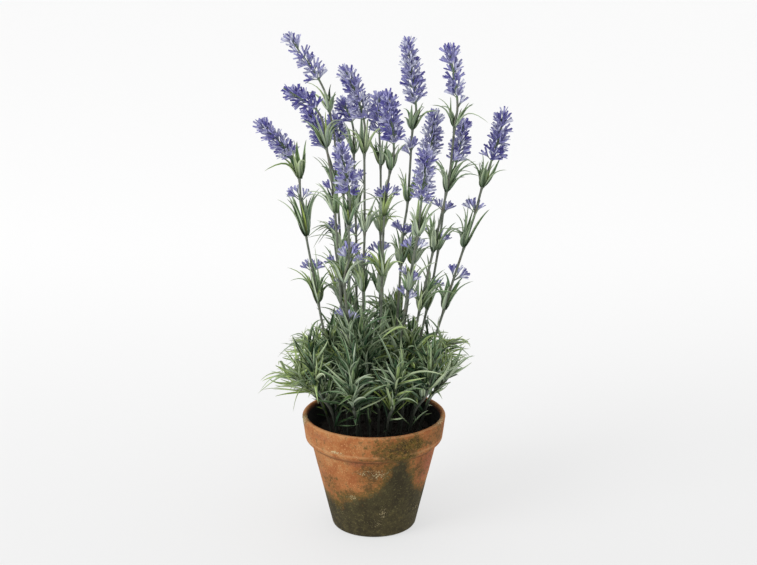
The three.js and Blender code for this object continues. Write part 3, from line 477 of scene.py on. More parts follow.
def grain_finish(look):
    """Moss and lime grains that stand on the pot: the mark says which of the two each one is."""
    finish = Finish("moss_and_lime")
    shade = finish.mark("shade")
    colour = finish.coats(
        look.moss,
        dark_grain=finish.ramp(shade, 0.72, 0.3),
        pale_grain=finish.ramp(shade, 0.78, 1.0))
    colour = finish.mix(colour, look.lime, finish.mark("lime"))
    colour = finish.coats(
        colour, dusty_grain=finish.ramp(finish.clouds(1.2 * MM), 0.55, 0.75) * 0.4)
    return finish.wear(Base_Color=colour, Roughness=0.95, Specular_IOR_Level=0.2)


def leaf_finish(look):
    """Satin leaves: fine streaks, a paler margin with painted sheen, painted shade in the groove; stem
    bark.
    """
    finish = Finish("leaf")
    ramp = finish.ramp
    shade, fresh, along, rib, under = map(finish.mark, ("shade", "fresh", "along", "rib", "under"))
    patch = finish.clouds(7 * MM, 3) - 0.5
    streak = finish.clouds(0.7 * MM, 3, 0.6) - 0.5
    blade = finish.mix(look.deep_leaf, look.leaf, ramp(shade + 0.5 * patch, 0.0, 0.5))
    blade = finish.mix(blade, look.pale_leaf, ramp(shade + 0.5 * streak, 0.5, 1.0) * 0.8)
    blade = finish.mix(blade, look.fresh_leaf, ramp(fresh + 0.6 * patch, 0.35, 0.95) * 0.8)
    blade = finish.coats(
        blade,
        cool_leaf=ramp(fresh, 0.1, 0.0) * 0.45,
        # painted shade in the leaf's gutter
        groove=ramp(rib, 0.5, 0.0) * 0.6,
        underside=ramp(under, 0.1, 0.6) * ramp(shade, 0.15, 0.8) * 0.6,
        keel=ramp(under, 0.75, 1.0) * 0.4,
        # a paler margin, with painted sheen on it, strongest on the lighter leaves
        margin=ramp(rib, 0.62, 1.0) * ramp(along, 0.02, 0.3) * ramp(shade, 0.05, 0.45) * 0.6,
        leaf_tip=ramp(along, 0.8, 1.0) * 0.5,
        leaf_shadow=ramp(along, 0.55, 0.0) * ramp(shade, 1.0, 0.25) * 0.9)
    bark = finish.coats(
        look.stem,
        dark_bark=ramp(patch + 0.6 * streak, -0.02, 0.2),
        pale_bark=ramp(streak, 0.04, 0.16) * 0.5,
        brown_bark=ramp(patch, -0.02, -0.16) * 0.4,
        # painted shade on the stem's foot, low in the pot
        stem_foot=ramp(along, 0.48, 0.1) * 0.92)
    return finish.wear(
        Base_Color=finish.mix(blade, bark, finish.mark("bare")), Roughness=0.52 + 0.3 * streak,
        Specular_IOR_Level=0.28, Normal=finish.bump(streak + 0.4 * patch, 0.12 * MM))


def floret_finish(look):
    """Soft violet lobes darker at their ends, painted shade where they part and inside, on a dusky
    greenish foot.
    """
    finish = Finish("floret")
    ramp = finish.ramp
    shade, along, outside = map(finish.mark, ("shade", "along", "rib"))
    patch = finish.clouds(2.2 * MM, 3) - 0.5
    colour = finish.mix(look.deep_floret, look.floret, ramp(shade + 0.5 * patch, 0.0, 0.55))
    colour = finish.mix(colour, look.pale_floret, ramp(shade + 0.6 * patch, 0.48, 1.0) * 0.9)
    colour = finish.coats(
        colour,
        lobe_tip=ramp(along, 0.74, 0.98) * 0.35,
        # painted shade in the throat, where the lobes part
        parting=ramp(along, 0.7, 0.5) * 0.3,
        # painted shade on the inner side of the lobes and tube
        lobe_inside=ramp(outside, 0.6, 0.0) * 0.65,
        tube=ramp(along, 0.44, 0.24) * 0.75,
        floret_foot=ramp(along, 0.2, 0.02))
    return finish.wear(
        Base_Color=colour, Roughness=0.62, Specular_IOR_Level=0.3,
        Normal=finish.bump(patch, 0.1 * MM))


def floor_finish(look):
    """A pale, faintly lit floor, as of a light table, that grows lighter towards the back."""
    finish = Finish("floor")
    near, far = ([share * part for part in look.floor] for share in (FLOOR_FADE, FLOOR_FAR))
    depth = finish.node("ShaderNodeSeparateXYZ", {0: finish.place}, output=1)
    away = finish.node("ShaderNodeVectorMath", {0: finish.place}, output=1, operation="LENGTH")
    colour = finish.mix(near, look.floor, finish.ramp(depth, *FLOOR_FADE_PLACES))
    colour = finish.mix(colour, look.floor, finish.ramp(away, *FLOOR_BLEND_REACH))
    colour = finish.mix(colour, far, finish.ramp(away, *FLOOR_FAR_REACH))
    return finish.wear(
        Base_Color=colour, Emission_Color=colour, Emission_Strength=FLOOR_GLOW, Roughness=0.8,
        Specular_IOR_Level=0.1)


# ------------------------------------------------------------------ meshes
MARKS = (
    "shade", "fresh", "along", "rib", "under", "bare", "lime", "moss", "ochre", "blush", "growth",
    "inside", "worn", "crease",
)
SHARP_ANGLE = math.radians(62)


class Shape:
    """Points and faces of one piece, with the marks that its material reads at each point."""

    def __init__(self):
        self.points = []
        self.faces = []
        self.marks = defaultdict(list)
        self.count = 0

    def add(self, points, faces, **marks):
        """Adds a closed form. A mark is one number, or one for each of the points."""
        points = np.asarray(points, float)
        self.faces += [[int(corner) + self.count for corner in face] for face in faces]
        self.points.append(points)
        self.count += len(points)
        for name in MARKS:
            values = marks.get(name, 0.0)
            self.marks[name].append(np.broadcast_to(np.asarray(values, float), len(points)))

    def piece(self, name, material, slot, *nodes):
        """The finished object, which rides with the part and stands for some of its nodes."""
        mesh = bpy.data.meshes.new(name)
        mesh.from_pydata(np.vstack(self.points).tolist(), [], self.faces)
        for mark, values in self.marks.items():
            joined = np.concatenate(values).astype(np.float32)
            if joined.any():
                mesh.attributes.new(mark, "FLOAT", "POINT").data.foreach_set("value", joined)
        mesh.materials.append(material)
        mesh.shade_smooth()
        mesh.set_sharp_from_angle(angle=SHARP_ANGLE)
        piece = bpy.data.objects.new(name, mesh)
        bpy.context.scene.collection.objects.link(piece)
        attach(piece, "root")
        if nodes:
            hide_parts(*nodes)
        return piece


def grid_faces(rows, columns):
    """Faces of a net of points, row after row, whose last column is joined to its first."""
    faces = []
    for row in range(rows - 1):
        for column in range(columns):
            here, there = row * columns + column, row * columns + (column + 1) % columns
            faces.append((here, there, there + columns, here + columns))
    return faces


def unit(vector):
    """A vector, or each of several in rows, at a length of 1."""
    return vector / np.linalg.norm(vector, axis=-1, keepdims=True)


def turned(vector, axis, angle):
    """A vector turned round an axis of length 1, by an angle in radians."""
    return (vector * math.cos(angle) + np.cross(axis, vector) * math.sin(angle)
            + axis * np.dot(axis, vector) * (1 - math.cos(angle)))


def add_tube(shape, line, radii, sides=8, **marks):
    """A round bar along a line of points, closed at both ends."""
    line = np.asarray(line, float)
    ahead = unit(np.gradient(line, axis=0))
    first = unit(np.cross(ahead, (0.3, 1.0, 0.2)))
    second = np.cross(ahead, first)
    turn = np.linspace(0, 2 * math.pi, sides, endpoint=False)[:, None]
    radii = np.broadcast_to(radii, len(line))[:, None, None]
    rings = line[:, None] + radii * (
        np.cos(turn) * first[:, None] + np.sin(turn) * second[:, None])
    last = (len(line) - 1) * sides
    ends = [tuple(range(sides))[::-1], tuple(range(last, last + sides))]
    each = {name: np.repeat(np.broadcast_to(value, len(line)), sides) for name, value in marks.items()}
    shape.add(rings.reshape(-1, 3), grid_faces(len(line), sides) + ends, **each)


def add_rings(shape, rings, first, last, **marks):
    """Rings of points one after the other, closed by a fan of faces round a point at either end."""
    columns = len(rings[0])
    points = np.vstack([*rings, [first], [last]])
    faces = grid_faces(len(rings), columns)
    top = (len(rings) - 1) * columns
    for k in range(columns):
        following = (k + 1) % columns
        faces.append((len(points) - 2, following, k))
        faces.append((len(points) - 1, top + k, top + following))
    shape.add(points, faces, **marks)


# ------------------------------------------------------------------ the plant's lines
class Course:
    """The smooth line of a stem, from its foot in the soil to its tip."""

    SAMPLES = 400
    BURIED = (15 * MM, 2 * MM)  # depths of the two places that set the foot upright

    def __init__(self, places):
        places = MM * np.array(places, float)
        foot = places[0]
        deep = [foot - (0, 0, depth) for depth in self.BURIED]
        inner = np.vstack([deep, places[1:]])
        self.places = np.vstack([2 * inner[0] - inner[1], inner, 2 * inner[-1] - inner[-2]])
        self.spans = len(inner) - 1
        self.line = np.array([self.at(share) for share in np.linspace(0, 1, self.SAMPLES)])

    def at(self, share):
        """The place at a share of the way along."""
        span = min(int(share * self.spans), self.spans - 1)
        t = share * self.spans - span
        before, start, end, after = self.places[span:span + 4]
        leave, arrive = (end - before) / 2, (after - start) / 2
        return (start + leave * t + (3 * (end - start) - 2 * leave - arrive) * t ** 2
                + (2 * (start - end) + leave + arrive) * t ** 3)

    def at_heights(self, heights):
        """The places at some heights, one in each row."""
        return np.column_stack([
            np.interp(heights, self.line[:, 2], self.line[:, axis]) for axis in range(3)])


# ------------------------------------------------------------------ leaves
UP = np.array((0.0, 0.0, 1.0))
NUDGE = np.array((0.01, 0.0, 0.0))  # gives a way sideways to what points straight up
# Shares of a leaf's length up the stem, and of the cup's girth, that shape a whorl's cup.
CUP_LOW = 0.2
CUP_HIGH = 0.66
CUP_CLOSING = 0.85


class Leaf:
    """A leaf's line, which leaves its root towards a low place and comes to its tip from a high one.

    The face is the way its upper side looks, and half is half its width."""

    def __init__(self, root, low, high, tip, face, half):
        self.root, self.low, self.high, self.tip = root, low, high, tip
        self.face = face
        self.half = half

    @classmethod
    def with_bend(cls, root, bend, tip, face, half):
        """A leaf with one place that bends its line."""
        return cls(root, root + (bend - root) * 2 / 3, tip + (bend - tip) * 2 / 3, tip, face, half)

    def at(self, t):
        """Places on the leaf's line at shares of it."""
        s = 1 - t
        return (s ** 3 * self.root + 3 * s ** 2 * t * self.low + 3 * s * t ** 2 * self.high
                + t ** 3 * self.tip)

    def varied(self, draw, turn=(0, 0), tilt=(0, 0), length=(1, 1), breadth=(1, 1), bow=(0, 0)):
        """Another leaf from the same root, turned, tilted, sized and bowed by amounts between these."""
        turn = math.radians(draw.uniform(*turn)) * draw.choice((-1, 1))
        tilt = math.radians(draw.uniform(*tilt))
        size = draw.uniform(*length)
        aside = unit(np.cross(UP, unit(self.tip - self.root) + NUDGE))

        def moved(vector):
            return turned(turned(vector, aside, -tilt), UP, turn)

        face = moved(self.face)
        bulge = 2 / 3 * draw.uniform(*bow) * size * np.linalg.norm(self.tip - self.root) * face
        low, high, tip = (
            self.root + size * moved(place - self.root) for place in (self.low, self.high, self.tip))
        half = self.half * draw.uniform(*breadth)
        return Leaf(self.root, low + bulge, high + bulge, tip, face, half)

    def moved_to(self, root):
        """The same leaf from another root."""
        low, high, tip = (place + root - self.root for place in (self.low, self.high, self.tip))
        return Leaf(root, low, high, tip, self.face, self.half)

    def sized(self, size):
        """The same leaf at a share of its length."""
        low, high, tip = (
            self.root + size * (place - self.root) for place in (self.low, self.high, self.tip))
        return Leaf(self.root, low, high, tip, self.face, self.half)

    def cupped(self, axis, girth):
        """The same leaf, which stands round the stem as a tulip's petal does and then arches out."""
        rise = self.tip - self.root
        length = np.linalg.norm(rise)
        out = unit(rise - axis * np.dot(rise, axis) + MM * NUDGE)
        low = self.root + girth * out + CUP_LOW * length * axis
        high = self.root + CUP_CLOSING * girth * out + CUP_HIGH * length * axis
        return Leaf(self.root, low, high, self.tip, self.face, self.half)

    def elevation(self):
        """How steeply the leaf rises from its root to its tip, in degrees."""
        return math.degrees(math.asin(unit(self.tip - self.root)[2]))


def grown_leaf(draw, root, azimuth, elevation, length, half, bow):
    """A leaf that leaves its root at an azimuth in degrees. Its other sizes are drawn from limits."""
    azimuth, elevation = math.radians(azimuth), math.radians(draw.uniform(*elevation))
    length, half, bow = (draw.uniform(*limits) for limits in (length, half, bow))
    flat = np.array((math.cos(azimuth), math.sin(azimuth), 0.0))
    out = math.cos(elevation) * flat + math.sin(elevation) * UP
    face = math.cos(elevation) * UP - math.sin(elevation) * flat
    return Leaf.with_bend(
        root, root + length * (0.5 * out + bow * face), root + length * out, face, half)


LEAF_ROWS = np.array([0, 0.05, 0.13, 0.23, 0.35, 0.48, 0.61, 0.73, 0.84, 0.93])
# Width along a leaf, over its greatest: of those on the flower stems and of the mound's.
SLENDER = np.interp(
    LEAF_ROWS, [0, 0.1, 0.28, 0.45, 0.6, 0.75, 0.88, 1], [0.6, 0.88, 1, 0.92, 0.7, 0.44, 0.28, 0.12])
BROAD = np.interp(
    LEAF_ROWS, [0, 0.1, 0.3, 0.5, 0.65, 0.8, 0.9, 1], [0.55, 0.8, 1, 0.95, 0.76, 0.5, 0.3, 0.1])
# Corners of a leaf's section: place across it, share of the gutter's depth and of the thickness.
LEAF_SECTION = [(-1, 1, 0), (-0.5, 0.32, 0), (0, 0, 0), (0.5, 0.32, 0), (1, 1, 0), (0, 0, 1)]
ACROSS, RISE, BELOW = np.array(LEAF_SECTION).T
RIB_MARK = 0.6  # the underside has neither the groove's colour nor the margin's
GUTTER = 0.6  # depth of the gutter over half the leaf's width
ROOT_SINK = 0.7 * MM
TIP_CURL = 0.19  # how far a tip curls, as a share of the leaf's length
SWAY_BACK = 0.8  # how much of its sway a leaf makes good before its tip
TWIST = 1.1  # turn of a leaf's tip round its own line, in radians
LEAF_STEP = 0.01  # share of its length over which a leaf's direction is taken
THINNEST = 0.35  # thickness of a leaf where it ends, over its greatest


def add_leaf(shape, leaf, draw, look, shade, fresh, curls=(-0.5, 1.0), outline=SLENDER):
    """A narrow leaf with a gutter, whose fine tip curls."""
    length = np.linalg.norm(leaf.tip - leaf.root)
    curl = length * TIP_CURL * draw.uniform(*curls)
    sway = length * TIP_CURL * draw.uniform(-1.0, 1.0)
    side = unit(np.cross(unit(leaf.tip - leaf.root), leaf.face))

    def line(t):
        return leaf.at(t) - curl * t ** 4 * leaf.face + sway * (t ** 3 - SWAY_BACK * t ** 2) * side

    t = LEAF_ROWS[:, None]
    centre = line(t)
    ahead = unit(line(t + LEAF_STEP) - line(t - LEAF_STEP))
    level = unit(leaf.face - ahead * (ahead @ leaf.face)[:, None])
    beside = np.cross(ahead, level)
    twist = TWIST * draw.uniform(-1, 1) * t ** 1.5
    face = (np.cos(twist) * level + np.sin(twist) * beside)[:, None]
    across = (np.cos(twist) * beside - np.sin(twist) * level)[:, None]
    centre[0] -= ROOT_SINK * ahead[0]
    half = (leaf.half * look.leaf_breadth * outline)[:, None, None]
    thick = look.leaf_thickness * (THINNEST + (1 - THINNEST) * outline)[:, None, None]
    rings = centre[:, None] + half * ACROSS[:, None] * across
    rings += (GUTTER * half * RISE[:, None] - thick * BELOW[:, None]) * face
    rows, columns = len(LEAF_ROWS), len(LEAF_SECTION)
    points = np.vstack([rings.reshape(-1, 3), line(1.0)])
    tip, last = len(points) - 1, len(points) - 1 - columns
    faces = grid_faces(rows, columns)
    faces += [(last + k, last + (k + 1) % columns, tip) for k in range(columns)]
    faces += [(5, 4, 3, 2), (5, 2, 1, 0)]
    along = np.append(np.repeat(LEAF_ROWS, columns), 1.0)
    rib = np.append(np.tile(np.where(BELOW, RIB_MARK, np.abs(ACROSS)), rows), 1.0)
    under = np.append(np.tile(BELOW, rows), 0.0)
    shape.add(points, faces, shade=shade, fresh=fresh, along=along, rib=rib, under=under)


# ------------------------------------------------------------------ florets
class Floret:
    """A floret's foot, the way it points, the way one of its lobes lies, and its size."""

    def __init__(self, foot, ahead, lobe, size):
        self.foot, self.ahead = foot, unit(ahead)
        self.lobe = unit(lobe - self.ahead * np.dot(lobe, self.ahead))
        self.size = size


LOBES = 5
# Height and radius of the rings up the tube, then of the lobes' middle, shoulder and end, and half
# the angle and the thickness of a lobe at its root and at each of those, in millimetres and degrees.
TUBE_RINGS = [(0.0, 0.45), (1.3, 0.78), (2.8, 1.35), (4.4, 2.15)]
LOBE_RINGS = [(5.7, 2.95), (7.6, 3.75), (8.4, 4.0)]
LOBE_HALF_ANGLES = [math.radians(angle) for angle in (26, 17.5, 13, 10.5)]
LOBE_THICKNESS = [0.6, 0.75, 0.7, 0.4]
FLORET_THROAT = 2.9  # height of the hollow inside the tube
FLORET_SCALE = 1.15
FLORET_FLATNESS = 0.8  # how deep a floret is, over its width
LOBE_SHADES = (-0.36, 0.36)  # how much darker or lighter than its floret a lobe may be
# Limits of how far a lobe flares out and stretches, over its usual size, and of its lean in radians.
LOBE_LIMITS = ((0.66, 1.22), (0.78, 1.08), (-0.2, 0.2))


def place_round(radius, angle, height):
    """A place by its distance from the upright axis, its angle round it and its height."""
    return (radius * math.cos(angle), radius * math.sin(angle), height)


def add_floret(shape, floret, draw, shade):
    """A narrow tube that opens into five blunt lobes, flattened like a fan."""
    sides = 2 * LOBES
    middles = [2 * math.pi * lobe / LOBES for lobe in range(LOBES)]
    angles = [middle + side * LOBE_HALF_ANGLES[0] for middle in middles for side in (-1, 1)]
    lobe_shades = [shade + draw.uniform(*LOBE_SHADES) for _ in range(LOBES)]
    mouth_height, mouth_radius = TUBE_RINGS[-1]
    points = [place_round(radius, angle, height) for height, radius in TUBE_RINGS for angle in angles]
    inner = len(points)
    mouth, throat = inner - sides, inner + sides
    points += [place_round(mouth_radius - LOBE_THICKNESS[0], angle, mouth_height) for angle in angles]
    points.append((0, 0, FLORET_THROAT))
    # 1 marks the outer side; the finish paints shade on the inner side, marked 0
    outside = [1.0] * inner + [0.0] * (sides + 1)
    shades = [lobe_shades[k % sides // 2] for k in range(throat)] + [shade]
    faces = grid_faces(len(TUBE_RINGS), sides)
    faces.append(tuple(range(sides))[::-1])
    faces += [(inner + (k + 1) % sides, throat, inner + k) for k in range(sides)]
    for lobe, middle in enumerate(middles):
        flare, stretch, lean = (draw.uniform(*limits) for limits in LOBE_LIMITS)
        left, right, gap = 2 * lobe, 2 * lobe + 1, (2 * lobe + 2) % sides
        ring = [mouth + left, mouth + right, inner + right, inner + left]
        for step, (rise, reach) in enumerate(LOBE_RINGS, 1):
            share = step / len(LOBE_RINGS)
            reach = mouth_radius + (reach - mouth_radius) * (1 + (flare - 1) * share)
            rise = mouth_height + (rise - mouth_height) * stretch
            thick = LOBE_THICKNESS[step]
            following = [len(points) + k for k in range(4)]
            for side, depth in ((-1, 0), (1, 0), (1, thick), (-1, thick)):
                angle = middle + lean * share + side * LOBE_HALF_ANGLES[step]
                points.append(place_round(reach - depth, angle, rise))
                outside.append(float(depth == 0))
                shades.append(lobe_shades[lobe])
            faces += [(ring[k - 1], ring[k], following[k], following[k - 1]) for k in (1, 2, 3, 0)]
            ring = following
        faces.append(tuple(ring))
        faces.append((mouth + right, mouth + gap, inner + gap, inner + right))
    points = np.array(points)
    along = np.clip(points[:, 2] / LOBE_RINGS[-1][0], 0, 1)
    ways = np.array([
        floret.lobe, FLORET_FLATNESS * np.cross(floret.ahead, floret.lobe), floret.ahead])
    placed = floret.foot + FLORET_SCALE * MM * floret.size * points @ ways
    shape.add(placed, faces, shade=np.clip(shades, 0, 1), along=along, rib=outside)


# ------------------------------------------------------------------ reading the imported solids
def read_net(node):
    """The corners of a node's solid, and the set of neighbours of each."""
    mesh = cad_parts[node].data
    places = np.array([vertex.co for vertex in mesh.vertices], float)
    keys = np.round(places / SAME_PLACE).astype(np.int64)
    _, kept, number = np.unique(keys, axis=0, return_index=True, return_inverse=True)
    number = number.reshape(-1)
    near = defaultdict(set)
    for polygon in mesh.polygons:
        corners = [int(number[corner]) for corner in polygon.vertices]
        for corner in corners:
            near[corner].update(set(corners) - {corner})
    return places[kept], near


def read_leaf(points, near, tip):
    """The leaf that ends at a corner: its rows of three are followed down to its root."""
    row, seen, rows = near[tip], {tip}, []
    while len(row) == 3 and len(rows) < 3:
        rows.append([points[corner] for corner in row])
        seen |= row
        row = set().union(*(near[corner] for corner in row)) - seen
    if not row or not rows:
        return None
    root = points[sorted(row)].mean(axis=0)
    row = rows[-1]
    pairs = [(0, 1, 2), (1, 2, 0), (2, 0, 1)]
    left, right, under = max(pairs, key=lambda pair: np.linalg.norm(row[pair[0]] - row[pair[1]]))
    centre = (row[left] + row[right]) / 2
    place = ROW_PLACE[len(rows)]
    bend = (centre - (1 - place) ** 2 * root - place ** 2 * points[tip]) / (2 * place * (1 - place))
    half = np.linalg.norm(row[left] - row[right]) / 2
    return Leaf.with_bend(root, bend, points[tip], unit(centre - row[under]), half)


def read_shoots(node):
    """The leaves and florets of a node's solid."""
    points, near = read_net(node)
    leaves, lobes = [], defaultdict(list)
    for corner, around in sorted(near.items()):
        if len(around) != 3:
            continue
        reach = {other: np.linalg.norm(points[other] - points[corner]) for other in around}
        shortest, longest = min(reach.values()), max(reach.values())
        if LEAF_END[0] < shortest and longest < LEAF_END[1]:
            leaf = read_leaf(points, near, corner)
            if leaf:
                leaves.append(leaf)
        elif LOBE_EDGE[0] < shortest and longest < LOBE_EDGE[1]:
            lobes[max(reach, key=reach.get)].append(points[corner])
    florets = []
    for throat, tips in sorted(lobes.items()):
        if len(tips) != 3:
            continue
        rise = np.mean(tips, axis=0) - points[throat]
        size = np.linalg.norm(rise) / SOLID_LOBE_RISE
        foot = points[throat] - unit(rise) * SOLID_THROAT * size
        florets.append(Floret(foot, rise, tips[0] - points[throat], size))
    return leaves, florets


# ------------------------------------------------------------------ the pot
POT_COLUMNS = 288
POT_ROW = 1.4 * MM  # distance between the pot's rows of points
LEDGE = (0.6 * MM, 0.5 * MM)  # how far the slope under the band first steps out, and rises
BEVEL_START = -42  # angle at which the rounding over that slope starts, in degrees
INNER_LIP_RADIUS = 1.4 * MM
INNER_BEND = SOIL_TOP - 2 * MM  # height where the wall's inside bends towards its lip
FLOOR_RADIUS = BASE_RADIUS - WALL + 1 * MM
POT_WAVE = 0.14 * MM  # how far the wall strays in and out, in waves of two finenesses and strengths
POT_WAVES = ((70, 1.0), (420, 0.5))
FLAT_FOOT = 4 * MM  # height over which the waves set in, so that the pot stands flat
GROWTH_WANDER = 4 * MM  # how far the edge of the growth strays from its table
GROWTH_SWAY = 2.5  # the same sideways, in degrees
# How fine the waves of these two are round the pot and up it, and where the latter start.
WANDER_WAVES = (5, 60, 0)
SWAY_WAVES = (3, 110, 7)
GROWTH_BLUR = (-8, -4, 0, 4, 8)  # angles over which its strength is averaged, in degrees
EDGE_WIDTH = 1.6 * MM
# Heights of the rubbed edges, paled and given a painted highlight, and of the crease, given painted
# shade.
EDGES = {
    "worn": (POT_HEIGHT, BAND_FOOT + BEVEL_RISE + 1 * MM),
    "crease": (BAND_FOOT,),
}
# painted shade: between these depths below the rim the inside turns dark
INSIDE_FADE = (0.8 * MM, 8 * MM)  # depths below the rim between which the inside turns dark


def inner_radius(height):
    """Radius of the pot's inside at a height, if its wall were straight."""
    return np.interp(height, (FLOOR, POT_HEIGHT), (FLOOR_RADIUS, RIM_RADIUS - WALL))


def arc(across, up, radius, start, end, steps=6):
    """Points of a round edge, by its middle and by angles in degrees from the radius towards up."""
    angles = np.radians(np.linspace(start, end, steps))
    return [(across + radius * math.cos(a), up + radius * math.sin(a)) for a in angles]


def pot_profile():
    """Radius and height of the pot's wall, from under its middle, up outside and down inside."""
    slope = math.degrees(math.atan2(BODY_TOP_RADIUS - BASE_RADIUS, BAND_FOOT))
    inner_lip = RIM_RADIUS - LIP_WIDTH + INNER_LIP_RADIUS
    corners = [
        (0, 0),
        *arc(BASE_RADIUS - FOOT_RADIUS, FOOT_RADIUS, FOOT_RADIUS, -90, -slope),
        (BODY_TOP_RADIUS, BAND_FOOT),
        (BODY_TOP_RADIUS + LEDGE[0], BAND_FOOT + LEDGE[1]),
        *arc(BAND_FOOT_RADIUS - BEVEL_RADIUS, BAND_FOOT + BEVEL_RISE, BEVEL_RADIUS, BEVEL_START, 0),
        *arc(RIM_RADIUS - LIP_RADIUS, POT_HEIGHT - LIP_RADIUS, LIP_RADIUS, 0, 90),
        *arc(inner_lip, POT_HEIGHT - INNER_LIP_RADIUS, INNER_LIP_RADIUS, 90, 180),
        (inner_radius(SOIL_TOP), INNER_BEND),
        (FLOOR_RADIUS, FLOOR),
        (0, FLOOR),
    ]
    points = [corners[0]]
    for start, end in zip(corners, corners[1:]):
        steps = max(1, round(math.dist(start, end) / POT_ROW))
        points += [tuple(place) for place in np.linspace(start, end, steps + 1)[1:]]
    return points


PROFILE = pot_profile()
RIM_ROW = max(range(len(PROFILE)), key=lambda row: PROFILE[row][1])


def waves(places, kinds=((1, 1.0),)):
    """Smooth random values at places, from waves of some finenesses and strengths."""
    return np.array([
        sum(strength * noise.noise(Vector(place) * fineness) for fineness, strength in kinds)
        for place in places])


def patch_strength(name, angle, height):
    """Strength of one kind of patch at angles from the front and heights."""
    strength = np.zeros_like(angle)
    for middle, level, half, rise, most in PATCHES[name]:
        aside = (angle - middle + 180) % 360 - 180
        fall = (aside / half) ** 2 + ((height / MM - level) / rise) ** 2
        strength = np.maximum(strength, most * np.exp(-fall))
    return strength


def growth_strength(angle, height):
    """Strength of the dark growth at angles from the front and heights."""
    turn = np.radians(angle)
    stray, sway = (
        waves(zip(around * np.cos(turn), around * np.sin(turn), start + upwards * height))
        for around, upwards, start in (WANDER_WAVES, SWAY_WAVES))
    total = 0
    for away in GROWTH_BLUR:
        place = (angle + GROWTH_SWAY * sway + away + 180) % 360 - 180
        edge = MM * np.interp(place, *zip(*GROWTH_EDGE)) + GROWTH_WANDER * stray
        total = total + np.clip(0.5 + (edge - height) / GROWTH_SOFTNESS, 0, 1)
    return total / len(GROWTH_BLUR)


def make_pot(look):
    """The pot's shell, with the marks of its weathering and of its painted light and shade."""
    turn = np.linspace(0, 2 * math.pi, POT_COLUMNS, endpoint=False)
    angle = (np.degrees(turn) + 180) % 360 - 180
    rings, marks = [], defaultdict(list)
    for row, (radius, height) in enumerate(PROFILE[1:-1], 1):
        level = np.full(POT_COLUMNS, height)
        wave = waves(zip(radius * np.cos(turn), radius * np.sin(turn), level), POT_WAVES)
        reach = min(radius, RIM_RADIUS) + POT_WAVE * wave * min(1, height / FLAT_FOOT)
        if radius > RIM_RADIUS - LIP_RADIUS / 2:
            reach = np.minimum(reach, RIM_RADIUS)
        rings.append(np.column_stack([reach * np.sin(turn), -reach * np.cos(turn), level]))
        for name in PATCHES:
            marks[name].append(patch_strength(name, angle, level))
        is_inside = row > RIM_ROW and radius < RIM_RADIUS - WALL / 2
        depth = np.interp(POT_HEIGHT - height, INSIDE_FADE, (0, 1)) if is_inside else 0
        marks["inside"].append(np.full(POT_COLUMNS, depth))
        marks["growth"].append(growth_strength(angle, level) * (0 if is_inside else 1))
        for name, edges in EDGES.items():
            near = max(math.exp(-((height - edge) / EDGE_WIDTH) ** 2) for edge in edges)
            marks[name].append(np.full(POT_COLUMNS, 0 if is_inside else near))
    shape = Shape()
    whole = {name: np.append(np.concatenate(values), (0, 0)) for name, values in marks.items()}
    add_rings(shape, rings, (0, 0, 0), (0, 0, FLOOR), **whole)
    return shape.piece("pot_shell", terracotta_finish(look), "terracotta", "pot")


# A grain has a corner on top, two rings of five corners and one more below, and twenty faces.
RING_RADIUS, RING_RISE = 0.8944, 0.4472
TURNS = [2 * math.pi * k / 5 for k in range(5)]
LUMP = [
    (0, 0, 1),
    *(place_round(RING_RADIUS, turn, RING_RISE) for turn in TURNS),
    *(place_round(RING_RADIUS, turn + math.pi / 5, -RING_RISE) for turn in TURNS),
    (0, 0, -1),
]
AROUND = [(k, (k + 1) % 5) for k in range(5)]
LUMP_FACES = [
    *((0, 1 + k, 1 + after) for k, after in AROUND),
    *((1 + k, 6 + k, 1 + after) for k, after in AROUND),
    *((1 + after, 6 + k, 6 + after) for k, after in AROUND),
    *((6 + k, 11, 6 + after) for k, after in AROUND),
]
LUMP_STRETCH = (0.75, 1.25)  # how long a grain is along each axis, over its usual size
LUMP_ROUGHNESS = (0.8, 1.15)  # how far out each of its corners lies, over the usual distance
# Kinds of grains on the pot: how many places are tried, their sizes, and the least strength of the
# patch that they stand on.
GRAINS = {"moss": (3200, (0.16 * MM, 0.42 * MM), 0.25), "lime": (620, (0.18 * MM, 0.42 * MM), 0.3)}
GRAIN_SCATTER = 0.6  # how widely grains scatter over a patch, over half its size
GRAIN_THINNING = 0.5  # how much stronger than that least a patch must be to keep all its grains
GRAIN_SINK = 0.1 * MM
GRAIN_FLATNESS = 0.9
CRUMB_FLATNESS = 0.7


def add_lump(shape, centre, radius, draw, flatness, **marks):
    """A rough grain with twenty faces."""
    lump = np.array(LUMP) * [draw.uniform(*LUMP_STRETCH) for _ in range(3)]
    lump *= np.array([draw.uniform(*LUMP_ROUGHNESS) for _ in LUMP])[:, None]
    lump[:, 2] *= flatness
    shape.add(centre + radius * lump, LUMP_FACES, **marks)


def outer_radius(height):
    """Radius of the pot's outside at a height."""
    outside = [point for point in PROFILE[1:RIM_ROW + 1] if point[1] > 0.5 * MM]
    radii, heights = zip(*outside)
    return np.interp(height, heights, radii)


